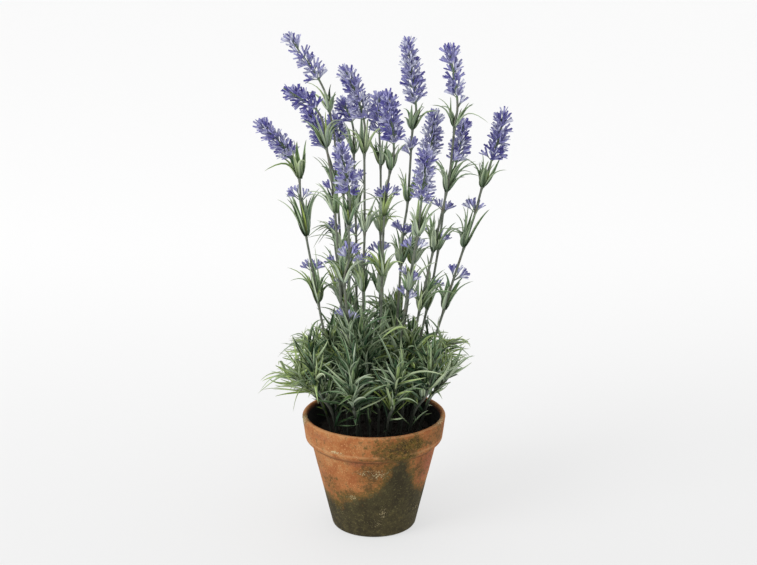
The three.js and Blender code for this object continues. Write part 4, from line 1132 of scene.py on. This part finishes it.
def make_grains(look):
    """Grains of moss and lime where the pot has patches of them."""
    draw = random.Random(71)
    shape = Shape()
    for name, (tries, sizes, least) in GRAINS.items():
        for _ in range(tries):
            middle, level, half, rise, most = draw.choice(PATCHES[name])
            angle = middle + half * draw.gauss(0, GRAIN_SCATTER)
            height = MM * (level + rise * draw.gauss(0, GRAIN_SCATTER))
            strength = patch_strength(name, np.array([angle]), np.array([height]))[0]
            if height > POT_HEIGHT - LIP_RADIUS or strength < least + draw.uniform(0, GRAIN_THINNING):
                continue
            reach = outer_radius(height) - GRAIN_SINK
            turn = math.radians(angle)
            centre = np.array((reach * math.sin(turn), -reach * math.cos(turn), height))
            size = draw.uniform(*sizes)
            add_lump(shape, centre, size, draw, GRAIN_FLATNESS,
                     shade=draw.random(), lime=float(name == "lime"))
    return shape.piece("moss_and_lime", grain_finish(look), "terracotta")


# ------------------------------------------------------------------ the soil
SOIL_COLUMNS = 96
SOIL_ROWS = 40
SOIL_GAP = 0.3 * MM  # room between the soil and the pot
SOIL_EDGE = SOIL_TOP - 1 * MM
SOIL_RELIEF = 1.6 * MM
SOIL_SINK = 0.2  # how far the soil's middle height lies under its top, as a share of the relief
SOIL_WAVES = ((90, 1.0), (243, 0.6))  # fineness and strength
CRUMBS = 420
CRUMB_SIZES = (0.6, 1.9)  # in millimetres
CRUMB_REACH = 0.97  # share of the soil's radius within which crumbs lie


def soil_height(x, y):
    """Height of the soil's crumbly top at a place."""
    return SOIL_TOP + SOIL_RELIEF * (waves([(x, y, 0)], SOIL_WAVES)[0] - SOIL_SINK)


def make_soil(look):
    """A plug of soil with a crumbly top, and loose crumbs on it."""
    shape = Shape()
    turn = np.linspace(0, 2 * math.pi, SOIL_COLUMNS, endpoint=False)
    low = FLOOR + SOIL_GAP
    edge = inner_radius(SOIL_EDGE) - SOIL_GAP
    sections = [(inner_radius(low) - SOIL_GAP, lambda x, y: low), (edge, lambda x, y: SOIL_EDGE)]
    sections += [(edge * (1 - row / SOIL_ROWS), soil_height) for row in range(1, SOIL_ROWS)]
    rings = [
        [(x, y, top(x, y)) for x, y in zip(reach * np.cos(turn), reach * np.sin(turn))]
        for reach, top in sections]
    add_rings(shape, rings, (0, 0, low), (0, 0, soil_height(0, 0)))
    draw = random.Random(5)
    for _ in range(CRUMBS):
        reach, angle = edge * CRUMB_REACH * math.sqrt(draw.random()), draw.uniform(0, 2 * math.pi)
        x, y = reach * math.cos(angle), reach * math.sin(angle)
        centre, size = np.array((x, y, soil_height(x, y))), draw.uniform(*CRUMB_SIZES) * MM
        add_lump(shape, centre, size, draw, CRUMB_FLATNESS)
    return shape.piece("soil_surface", soil_finish(look), "soil", "soil")


# ------------------------------------------------------------------ stems
SWELLING = 0.55 * MM  # how much thicker a stem may be where leaves leave it
WHORL_SWELLING = SWELLING / 1.6  # the same of one whorl by itself
WHORL_STEP = 2 * MM  # leaves that leave a stem within this height belong to one whorl
SWELLING_LENGTH = 2.6 * MM
PEG = 8 * MM  # depth that a stem goes down into the soil
TUBE_STEP = 3 * MM
# painted shade darkens a stem's foot low in the pot
SHADED_RISE = 150 * MM  # twice the height over which a stem's dark foot turns green
STEM_TAPER = 0.8  # thickness of a flower stem where its spike starts, over that at its foot
STALK_TAPER = 0.5  # the same of a spray's stalk at its top
RACHIS_POINTS = 18
RACHIS_END = 3 * MM  # how far under the tip a spike's own stem ends


def add_stem(shape, course, low, high, radius, taper, leaves):
    """A stem that is thicker where its leaves leave it."""
    heights = np.linspace(low, high, max(3, int((high - low) / TUBE_STEP)))
    radii = radius * (1 + (taper - 1) * (heights - low) / (high - low))
    for level in sorted({round(leaf.root[2] / WHORL_STEP) * WHORL_STEP for leaf in leaves}):
        radii = radii + WHORL_SWELLING * np.exp(-((heights - level) / SWELLING_LENGTH) ** 2)
    along = np.clip((heights - SOIL_TOP) / SHADED_RISE, 0, 0.5)
    add_tube(shape, course.at_heights(heights), np.minimum(radii, radius + SWELLING),
             bare=1.0, shade=0.5, along=along, rib=0.5)


# Painted light and shade: a leaf gets lighter by up to this much as its tip lies farther from the
# pot's middle, up to a distance, or higher, between two heights, while those deep in the mound stay
# dark.
OPEN_LIGHT = 0.4
OPEN_REACH = 80 * MM
OPEN_RISE = (145 * MM, 207 * MM)
# Least, greatest and likeliest amount by which a leaf on a flower stem is lighter than that.
STEM_SPREAD = (-0.46, 0.66, -0.25)


def leaf_shade(draw, leaf, base, spread=STEM_SPREAD):
    """Painted shade: leaves inside the mound are darker than those that reach out of it."""
    outwards = math.hypot(*leaf.tip[:2]) / OPEN_REACH
    upwards = np.interp(leaf.tip[2], OPEN_RISE, (0, 1))
    lighter = OPEN_LIGHT * min(1, max(outwards, upwards)) ** 2
    return float(np.clip(base + lighter + draw.triangular(*spread), 0, 1))


REACH_MARGIN = 0.012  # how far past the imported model's box a leaf may end, as a share of its side
SHORTEST = 0.4  # least share of its length that a leaf keeps when it is made shorter
SHORTEST_LOW = 0.3  # the same of a low leaf over the pot's rim
POT_ROOM = 53 * MM  # low leaves end within this radius
LOW_TIP = 125 * MM  # height under which a leaf's tip counts as low


def kept_within(leaf, lows, highs):
    """The leaf, made shorter if its tip would lie past these lowest or highest places."""
    size = 1.0
    for root, tip, low, high in zip(leaf.root, leaf.tip, lows, highs):
        if tip > high:
            size = min(size, (high - root) / (tip - root))
        elif tip < low:
            size = min(size, (low - root) / (tip - root))
    return leaf if size == 1 else leaf.sized(max(size, SHORTEST))


def kept_in_box(leaf):
    """The leaf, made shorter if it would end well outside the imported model's box."""
    lows, highs = map(np.array, CAD_BOX)
    margin = REACH_MARGIN * (highs - lows)
    return kept_within(leaf, lows - margin, highs + margin)


def kept_in_pot(leaf):
    """The leaf, made shorter if its tip would lie in the pot's wall or hang over it."""
    start, reach = (math.hypot(*place[:2]) for place in (leaf.root, leaf.tip))
    if leaf.tip[2] > LOW_TIP or reach < POT_ROOM:
        return leaf
    return leaf.sized(min(1, max(SHORTEST_LOW, (POT_ROOM - start) / (reach - start))))


# Tufts of dark leaves on the lowest part of each stem, by their heights in millimetres; their
# darkness is painted shade inside the mound.
TUFTS = (119, 126, 133, 141, 150, 160, 171, 183, 196)
TUFT_SCATTER = 5  # how far a tuft strays from its height, in millimetres
TUFT_LEAVES = 5
TUFT_TURN = 30  # how far a leaf is turned from its even place round the stem, in degrees
TUFT_LEAF = {
    "elevation": (30, 80), "length": (24 * MM, 42 * MM), "half": (1.2 * MM, 1.8 * MM),
    "bow": (-0.2, 0.2)}
# Greatest height of a tuft by its place from left to right, in millimetres.
TUFT_TOPS = [
    (-52, 110), (-46, 142), (-36, 168), (-20, 190), (0, 202), (16, 180), (40, 152), (52, 110)]
# painted light: the tufts lighten as they rise out of the mound's shade
DARK_RISE = (142 * MM, 182 * MM)  # the tufts grow lighter between these heights
TUFT_LIGHT = 0.5  # how much lighter
TUFT_SHADES = (0, 0.42)
TUFT_CURLS = (-1, 1.6)
INNER_FRESHNESS = (0, 0.6)  # how yellow-green the leaves inside the mound are


def add_tufts(shape, course, draw, look):
    """Upright leaves on the lowest part of a stem, inside the mound, darkened with painted shade."""
    for height in TUFTS:
        foot = course.at_heights([(height + draw.uniform(-TUFT_SCATTER, TUFT_SCATTER)) * MM])[0]
        first = draw.uniform(0, 360)
        if height > np.interp(foot[0] / MM, *zip(*TUFT_TOPS)):
            continue
        light = np.interp(height * MM, DARK_RISE, (0, TUFT_LIGHT))
        for k in range(TUFT_LEAVES):
            azimuth = first + 360 * k / TUFT_LEAVES + draw.uniform(-TUFT_TURN, TUFT_TURN)
            turn = math.radians(azimuth)
            root = foot + STEM_RADIUS * np.array((math.cos(turn), math.sin(turn), 0.0))
            leaf = kept_in_pot(grown_leaf(draw, root, azimuth, **TUFT_LEAF))
            shade, fresh = light + draw.uniform(*TUFT_SHADES), draw.uniform(*INNER_FRESHNESS)
            add_leaf(shape, leaf, draw, look, shade, fresh, TUFT_CURLS, BROAD)


CUP_HEIGHT = 185 * MM  # above this height a whorl's leaves close round the stem like a bud
HIGH_CUP = 300 * MM  # a cup above this height counts as a high one
# Number of leaves that are added for each one: on the lower stem, in a cup and in a high cup.
STEM_TWINS, CUP_TWINS, HIGH_CUP_TWINS = 2, 2, 1
TWIN_LEAF = {
    "turn": (24, 66), "tilt": (-8, 24), "length": (0.7, 1.15), "breadth": (0.85, 1.2),
    "bow": (-0.08, 0.08)}
INNER_LEAF = {"turn": (15, 50), "tilt": (5, 20), "length": (0.6, 0.9), "breadth": (0.9, 1.2)}
CUP_LEAF = {"tilt": (0, 14), "breadth": (1.05, 1.5)}
CUP_GIRTH = (3.8 * MM, 6.6 * MM)  # how far a cup's leaves stand out at its foot
# the inner leaves' darkness is painted shade inside the cup
INNER_GIRTH = 2.6 * MM  # the same of the dark leaves inside a cup
INNER_SHADES = (0, 0.3)
STEM_FRESHNESS = (-0.2, 0.8)  # how yellow-green a leaf is, as also that inside a cup
CUP_FRESHNESS = (0, 0.8)
ARCHING = 0.4  # share of a cup's leaves whose tips arch over, and the curls of those and of others
ARCHED_CURLS = (0.9, 2.3)
STEM_CURLS = (-0.4, 0.8)
CUP_SHADE, STEM_SHADE = 0.24, 0.2  # how light leaves are in a cup and below the cups
SIDE_STALK = 4 * MM  # height that a side floret's stalk rises on its way from the stem
SIDE_STALK_RADIUS = 0.45 * MM
SIDE_SHADES = (-0.2, 0.3)  # how much darker or lighter than its spike such a floret may be
SIDE_TWIN = (3.0, 4.5)  # distance from a side floret to its twin, in millimetres
SIDE_TWIN_SIZES = (0.85, 1.0)
SIDE_AHEAD = 9 * MM  # a twin points away from the stem at a place this far ahead of its foot


def add_side_floret(shape, course, floret, draw, shade):
    """A floret on a thin stalk at the side of a stem."""
    root = course.at_heights([floret.foot[2] - SIDE_STALK])[0]
    add_tube(shape, np.linspace(root, floret.foot, 5), SIDE_STALK_RADIUS, 6, along=0.0)
    add_floret(shape, floret, draw, float(np.clip(shade + draw.uniform(*SIDE_SHADES), 0, 1)))


def make_flower_stem(index, look, materials):
    """A flower stem with its leaves and side florets, and the thin stem inside its spike."""
    places, bloom, shade, _ = STEMS[index]
    node = f"flower_stem_{index + 1:02d}"
    leaves, florets = read_shoots(node)
    course = Course(places)
    draw = random.Random(1000 + index)
    shape = Shape()
    add_stem(shape, course, SOIL_TOP - PEG, bloom * MM, STEM_RADIUS, STEM_TAPER, leaves)
    rachis = np.linspace(bloom * MM, places[-1][2] * MM - RACHIS_END, RACHIS_POINTS)
    radii = np.linspace(STEM_RADIUS * STEM_TAPER, RACHIS_RADIUS, RACHIS_POINTS)
    add_tube(shape, course.at_heights(rachis), radii, 7,
             bare=0.55, shade=0.6, fresh=0.25, along=0.5, rib=0.5)
    add_tufts(shape, course, draw, look)
    for leaf in leaves:
        fresh = draw.uniform(*STEM_FRESHNESS)
        level = leaf.root[2]
        foot, above = course.at_heights([level, level + 2 * MM])
        axis = unit(above - foot)
        in_cup = level > CUP_HEIGHT
        twins, base = STEM_TWINS, STEM_SHADE
        if in_cup:
            twins, base = HIGH_CUP_TWINS if level > HIGH_CUP else CUP_TWINS, CUP_SHADE
            # a smaller leaf inside the cup, dark with painted shade
            inner = leaf.varied(draw, **INNER_LEAF).cupped(axis, INNER_GIRTH)
            dark = draw.uniform(*INNER_SHADES)
            add_leaf(shape, inner, draw, look, dark, draw.uniform(*CUP_FRESHNESS))
        for each in [leaf, *(leaf.varied(draw, **TWIN_LEAF) for _ in range(twins))]:
            curls = STEM_CURLS
            if in_cup:
                each = each.varied(draw, **CUP_LEAF)
                each = each.cupped(axis, draw.uniform(*CUP_GIRTH))
                if draw.random() < ARCHING:
                    curls = ARCHED_CURLS
            lightness = leaf_shade(draw, each, base)
            add_leaf(shape, kept_in_box(each), draw, look, lightness, fresh, curls)
    shape.piece(f"stem_and_leaves_{index + 1:02d}", materials["leaf"], "stem_and_leaf", node)
    if not florets:
        return
    buds = Shape()
    for floret in florets:
        add_side_floret(buds, course, floret, draw, shade)
        aside = unit(np.cross(floret.ahead, UP) + NUDGE)
        foot = floret.foot + draw.uniform(*SIDE_TWIN) * MM * draw.choice((-1, 1)) * aside
        ahead = foot + SIDE_AHEAD * floret.ahead - course.at_heights([floret.foot[2]])[0]
        twin = Floret(foot, ahead, floret.lobe, floret.size * draw.uniform(*SIDE_TWIN_SIZES))
        add_side_floret(buds, course, twin, draw, shade)
    buds.piece(f"side_florets_{index + 1:02d}", materials["floret"], "floret")


# ------------------------------------------------------------------ sprays
SprayKind = namedtuple("SprayKind", (
    "level", "lift", "length", "twins", "twin_length", "breadth", "shade", "spread", "shoot",
    "lean", "outline"))
# Most leaves that rise by less than the level, in degrees, are lifted. The twins are the number of
# leaves that are added for each one. The spread is the least, greatest and likeliest amount by
# which a leaf is lighter than the shade. A shoot goes on above its spray's top by so many
# millimetres at most, and keeps a part of the stalk's lean.
LEANING = SprayKind(
    level=18, lift=(6, 24), length=(0.9, 1.1), twins=5, twin_length=(0.65, 1.2),
    breadth=(0.74, 1.1), shade=0.54, spread=(-0.95, 0.7, -0.05), shoot=4, lean=0.5, outline=SLENDER)
UPRIGHT = SprayKind(
    level=48, lift=(24, 46), length=(0.78, 1.0), twins=4, twin_length=(0.6, 1.15),
    breadth=(0.7, 1.2), shade=-0.02, spread=(-0.46, 0.7, -0.25), shoot=30, lean=0.3, outline=BROAD)
LEANING_REACH = 50  # sprays whose tops lie farther out to a side lean out, in millimetres
LIFTED = 0.9  # share of the leaves below the level that are lifted, and their lengths
LIFTED_LENGTH = (0.85, 1.05)
LOW_ROOT = 126 * MM  # most leaves that would leave the stalk below this height are moved above it
LOW_SHARE = 0.2  # share of those leaves that stay where they are
OWN_LEAF = {"turn": (0, 22), "tilt": (-8, 8), "bow": (-0.2, 0.2)}
ADDED_LEAF = {"turn": (12, 85), "tilt": (-22, 34), "bow": (-0.28, 0.28)}
TWIN_DROP = 10 * MM  # how far below its leaf a twin may leave the stalk
SPRAY_FRESHNESS = (-0.5, 0.45)  # how much more or less yellow-green than its spray a leaf is
SPRAY_CURLS = (-1.5, 1.5)
BEND_OUT, BEND_UP = 0.38, 0.6  # shares of a stalk's lean and rise where it bends
SHOOT_TOP = 190  # height above which no shoot goes, in millimetres
SHOOT_WANDER = 7  # how far a shoot's tip strays sideways, in millimetres
# Leaves round the foot of each stalk: their number and the heights where they leave it.
UNDERGROWTH = 7
UNDERGROWTH_RISE = (104 * MM, 132 * MM)
UNDERGROWTH_LEAF = {
    "elevation": (12, 72), "length": (22 * MM, 38 * MM), "half": (0.75 * MM, 1.15 * MM),
    "bow": (-0.12, 0.16)}
UNDERGROWTH_CURLS = (-0.5, 0.8)
# their darkness is painted shade under the mound
UNDERGROWTH_LIGHT = 0.7  # shade of the lightest of them; most are far darker
# How far to the left and to the right the mound reaches, by height, in millimetres.
MOUND_LEFT = [
    (110, -58), (122, -78), (132, -94), (144, -102), (152, -92), (160, -84), (178, -78),
    (188, -62), (196, -46), (206, -30)]
MOUND_RIGHT = [
    (110, 46), (130, 54), (142, 55), (150, 60), (157, 78), (164, 88), (174, 87), (182, 74),
    (190, 54), (198, 40), (206, 28)]
SLANT = 0.29  # the mound's outline is that seen from a little above: how far the back looks raised
MOUND_DEPTH = 97 * MM


def mound_sides(leaf):
    """How far the mound reaches to the left and to the right where a leaf's tip is."""
    height = (leaf.tip[2] + SLANT * leaf.tip[1]) / MM
    return [MM * np.interp(height, *zip(*outline)) for outline in (MOUND_LEFT, MOUND_RIGHT)]


def kept_in_mound(leaf):
    """The leaf, made shorter if its tip would lie outside the mound."""
    left, right = mound_sides(leaf)
    return kept_in_pot(kept_within(leaf, (left, -MOUND_DEPTH, 0), (right, MOUND_DEPTH, 1)))


def add_undergrowth(shape, course, draw, look):
    """Leaves round a stalk's foot, under the mound, dark with painted shade."""
    for _ in range(UNDERGROWTH):
        azimuth = draw.uniform(0, 360)
        root = course.at_heights([draw.uniform(*UNDERGROWTH_RISE)])[0]
        leaf = kept_in_pot(grown_leaf(draw, root, azimuth, **UNDERGROWTH_LEAF))
        shade = UNDERGROWTH_LIGHT * draw.random() ** 3
        fresh = draw.uniform(*INNER_FRESHNESS)
        add_leaf(shape, leaf, draw, look, shade, fresh, UNDERGROWTH_CURLS, BROAD)


def make_spray(index, look, materials):
    """A spray of low leaves on a stalk of its own."""
    foot_x, foot_y, top_x, top_y, top_z, yellow = SPRAYS[index]
    node = f"spray_{index + 1:02d}"
    leaves, _ = read_shoots(node)
    draw = random.Random(2000 + index)
    kind = LEANING if abs(top_x) > LEANING_REACH else UPRIGHT
    foot = np.array((foot_x, foot_y, SOIL_TOP / MM))
    top = np.array((top_x, top_y, top_z))
    stray = [draw.uniform(-SHOOT_WANDER, SHOOT_WANDER) for _ in range(2)]
    shoot = (*(kind.lean * (top - foot)[:2] + stray), min(kind.shoot, SHOOT_TOP - top_z))
    end = top + shoot
    bend = foot + (top - foot) * (BEND_OUT, BEND_OUT, BEND_UP)
    course = Course([foot, bend, top, end])
    shape = Shape()
    add_stem(shape, course, SOIL_TOP - PEG, end[2] * MM, STALK_RADIUS, STALK_TAPER, leaves)
    for leaf in leaves:
        is_low = leaf.root[2] < LOW_ROOT
        if is_low and draw.random() > LOW_SHARE:
            height = draw.uniform(LOW_ROOT, top_z * MM + 2 * MM)
            leaf = leaf.moved_to(course.at_heights([height])[0])
            is_low = False
        if leaf.elevation() < kind.level and draw.random() < LIFTED:
            leaf = leaf.varied(draw, tilt=kind.lift, length=LIFTED_LENGTH)
        family = [leaf.varied(draw, length=kind.length, breadth=kind.breadth, **OWN_LEAF)]
        for _ in range(0 if is_low else kind.twins):
            height = draw.uniform(max(LOW_ROOT, leaf.root[2] - TWIN_DROP), end[2] * MM)
            twin = leaf.varied(
                draw, length=kind.twin_length, breadth=kind.breadth, **ADDED_LEAF)
            twin = twin.moved_to(course.at_heights([height])[0])
            left, right = mound_sides(twin)
            if left < twin.root[0] < right:
                family.append(twin)
        for each in family:
            fresh = float(np.clip(yellow + draw.uniform(*SPRAY_FRESHNESS), 0, 1))
            shade = leaf_shade(draw, each, kind.shade, kind.spread)
            each = kept_in_mound(each)
            add_leaf(shape, each, draw, look, shade, fresh, SPRAY_CURLS, kind.outline)
    add_undergrowth(shape, course, draw, look)
    shape.piece(f"leaf_spray_{index + 1:02d}", materials["leaf"], "low_foliage", node)


# ------------------------------------------------------------------ spikes
FLORET_PITCH = 3.5 * MM  # distance between the rings of florets that fill a spike
RING_FLORETS = 3
RING_TURN = 57  # how far each ring is turned from the one below it, in degrees
RING_SCATTER = 18  # how far a floret strays from its even place in the ring, in degrees
FLORET_SPREAD = (40, 58)  # angle between a floret and the spike's stem, in degrees
TIP_SPREAD = 0.45  # share by which that angle is less at the tip
LOBE_RISE = 0.3  # how much a lobe of an added floret looks up the spike
ADDED_SIZES = (0.84, 1.04)
LEAST_DISTANCE = 2.9 * MM  # between the middles of two florets
FLORET_MIDDLE = 5 * MM
LEAST_FILLING = 0.25  # chance that a free gap is filled in the emptiest spike
TIP_FLORET = 7.5 * MM  # height under the tip where the topmost florets start
PEDICEL = (0.6 * MM, 4.0 * MM)  # length of a floret's stalk at the foot of a spike
PEDICEL_LOSS = 0.6  # share by which stalks are shorter at the tip
PEDICEL_RADIUS = 0.4 * MM
FLORET_SHADES = (-0.4, 0.42)  # how much darker or lighter than its spike a floret may be


def make_spike(index, materials):
    """The florets of a spike: those of its solid, and rings of more in the gaps between them."""
    places, bloom, shade, fullness = STEMS[index]
    node = f"spike_{index + 1:02d}"
    _, florets = read_shoots(node)
    course = Course(places)
    draw = random.Random(3000 + index)
    shape = Shape()
    low, tip = bloom * MM, places[-1][2] * MM
    heights = course.line[:, 2]
    line = course.line[(heights > low + 1 * MM) & (heights < tip - TIP_FLORET)]
    run = np.append(0, np.cumsum(np.linalg.norm(np.diff(line, axis=0), axis=1)))
    start = draw.uniform(0, 360)

    def at_run(distance):
        """The place at a distance along the spike's line."""
        return np.array([np.interp(distance, run, values) for values in line.T])

    for ring, place in enumerate(np.arange(1 * MM, run[-1], FLORET_PITCH)):
        along = unit(at_run(place + 1 * MM) - at_run(place - 1 * MM))
        aside = unit(np.cross(along, (0.2, 1, 0.1)))
        share = place / run[-1]
        for k in range(RING_FLORETS):
            even = start + RING_TURN * ring + 360 * k / RING_FLORETS
            turn = math.radians(even + draw.uniform(-RING_SCATTER, RING_SCATTER))
            outward = turned(aside, along, turn)
            spread = math.radians(draw.uniform(*FLORET_SPREAD) * (1 - TIP_SPREAD * share ** 3))
            ahead = math.cos(spread) * along + math.sin(spread) * outward
            foot = at_run(place) + RACHIS_RADIUS * outward
            extra = Floret(foot, ahead, outward + LOBE_RISE * along, draw.uniform(*ADDED_SIZES))
            middle = extra.foot + FLORET_MIDDLE * extra.ahead
            is_free = all(
                np.linalg.norm(middle - other.foot - FLORET_MIDDLE * other.ahead) > LEAST_DISTANCE
                for other in florets)
            chance = max(LEAST_FILLING + (1 - LEAST_FILLING) * fullness, 2 * share - 1)
            if is_free and draw.random() < chance:
                florets.append(extra)
    for floret in florets:
        level = floret.foot[2]
        lowered, own = course.at_heights([min(level, tip - TIP_FLORET), level])
        foot = floret.foot + lowered - own
        rise = (foot[2] - low) / (tip - low)
        mouth = foot + draw.uniform(*PEDICEL) * (1 - PEDICEL_LOSS * rise) * floret.ahead
        stalk = [foot, (foot + mouth) / 2, mouth + 0.5 * MM * floret.ahead]
        add_tube(shape, stalk, PEDICEL_RADIUS, 6, along=0.0)
        blown = Floret(mouth, floret.ahead, floret.lobe, floret.size)
        add_floret(shape, blown, draw, float(np.clip(shade + draw.uniform(*FLORET_SHADES), 0, 1)))
    shape.piece(f"florets_{index + 1:02d}", materials["floret"], "floret", node)


# ------------------------------------------------------------------ operators
class LAVENDER_OT_pot(bpy.types.Operator):
    """Builds the pot's shell with its moss and lime"""

    bl_idname = "lavender.pot"
    bl_label = "Pot"

    def execute(self, context):
        make_pot(context.scene.lavender_pot)
        make_grains(context.scene.lavender_pot)
        return {"FINISHED"}


class LAVENDER_OT_soil(bpy.types.Operator):
    """Builds the soil and its loose crumbs"""

    bl_idname = "lavender.soil"
    bl_label = "Soil"

    def execute(self, context):
        make_soil(context.scene.lavender_pot)
        return {"FINISHED"}


class LAVENDER_OT_flowers(bpy.types.Operator):
    """Builds the flower stems with their leaves and florets"""

    bl_idname = "lavender.flowers"
    bl_label = "Flowers"

    def execute(self, context):
        look = context.scene.lavender_plant
        materials = {"leaf": leaf_finish(look), "floret": floret_finish(look)}
        for index in range(len(STEMS)):
            make_flower_stem(index, look, materials)
            make_spike(index, materials)
        return {"FINISHED"}


class LAVENDER_OT_foliage(bpy.types.Operator):
    """Builds the low sprays of leaves"""

    bl_idname = "lavender.foliage"
    bl_label = "Foliage"

    def execute(self, context):
        look = context.scene.lavender_plant
        materials = {"leaf": bpy.data.materials.get("leaf") or leaf_finish(look)}
        for index in range(len(SPRAYS)):
            make_spray(index, look, materials)
        return {"FINISHED"}


FLOOR_SIZE = 30.0
CAMERA_PLACE = (4.12 * MM, -1357.4 * MM, 620.9 * MM)
CAMERA_PITCH = 16.07  # degrees below level
KEY_PLACE = (-1.7, -1.3, 1.8)
KEY_AIM = (0, 0, 0.2)
KEY_SIZE = 1.3


class LAVENDER_OT_stage(bpy.types.Operator):
    """Sets the floor, the light and the camera"""

    bl_idname = "lavender.stage"
    bl_label = "Stage"

    def execute(self, context):
        scene = context.scene
        look = scene.lavender_stage
        half = FLOOR_SIZE / 2
        mesh = bpy.data.meshes.new("floor")
        corners = [(-half, -half, 0), (half, -half, 0), (half, half, 0), (-half, half, 0)]
        mesh.from_pydata(corners, [], [(0, 1, 2, 3)])
        mesh.materials.append(floor_finish(look))
        floor = bpy.data.objects.new("floor", mesh)
        scene.collection.objects.link(floor)

        light = bpy.data.lights.new("key", "AREA")
        light.energy = look.key_power
        light.size = KEY_SIZE
        key = bpy.data.objects.new("key", light)
        key.location = KEY_PLACE
        aim = Vector(KEY_AIM) - key.location
        key.rotation_euler = aim.to_track_quat("-Z", "Y").to_euler()
        scene.collection.objects.link(key)

        world = bpy.data.worlds.new("studio")
        world.use_nodes = True
        background = world.node_tree.nodes["Background"]
        background.inputs["Strength"].default_value = look.sky
        background.inputs["Color"].default_value = (1, 1, 1, 1)
        scene.world = world
        scene.view_settings.view_transform = "Standard"

        camera = bpy.data.objects.new("camera", bpy.data.cameras.new("camera"))
        camera.data.lens = look.lens
        camera.location = CAMERA_PLACE
        camera.rotation_euler = (math.radians(90 - CAMERA_PITCH), 0, 0)
        scene.collection.objects.link(camera)
        scene.camera = camera
        return {"FINISHED"}


class LAVENDER_PT_panel(bpy.types.Panel):
    """Lists the settings and the steps that build the lavender"""

    bl_idname = "LAVENDER_PT_panel"
    bl_label = "Potted lavender"
    bl_space_type = "VIEW_3D"
    bl_region_type = "UI"
    bl_category = "Lavender"

    def draw(self, context):
        for settings, operators in PANEL_ROWS:
            group = getattr(context.scene, settings)
            box = self.layout.box()
            for name in group.__annotations__:
                box.prop(group, name)
            for operator in operators:
                box.operator(operator.bl_idname)


PANEL_ROWS = [
    ("lavender_pot", (LAVENDER_OT_pot, LAVENDER_OT_soil)),
    ("lavender_plant", (LAVENDER_OT_flowers, LAVENDER_OT_foliage)),
    ("lavender_stage", (LAVENDER_OT_stage,)),
]
SETTINGS = {
    "lavender_pot": LavenderPot, "lavender_plant": LavenderPlant, "lavender_stage": LavenderStage}
CLASSES = (
    *SETTINGS.values(), LAVENDER_OT_pot, LAVENDER_OT_soil, LAVENDER_OT_flowers,
    LAVENDER_OT_foliage, LAVENDER_OT_stage, LAVENDER_PT_panel,
)


def register():
    """Adds the classes and the settings that the panel shows."""
    for cls in CLASSES:
        bpy.utils.register_class(cls)
    for name, group in SETTINGS.items():
        setattr(bpy.types.Scene, name, PointerProperty(type=group))


def unregister():
    """Takes them away again."""
    for name in SETTINGS:
        delattr(bpy.types.Scene, name)
    for cls in reversed(CLASSES):
        bpy.utils.unregister_class(cls)


def main():
    """Builds everything."""
    register()
    bpy.ops.lavender.stage()
    bpy.ops.lavender.pot()
    bpy.ops.lavender.soil()
    bpy.ops.lavender.flowers()
    bpy.ops.lavender.foliage()


if __name__ == "__main__":
    main()
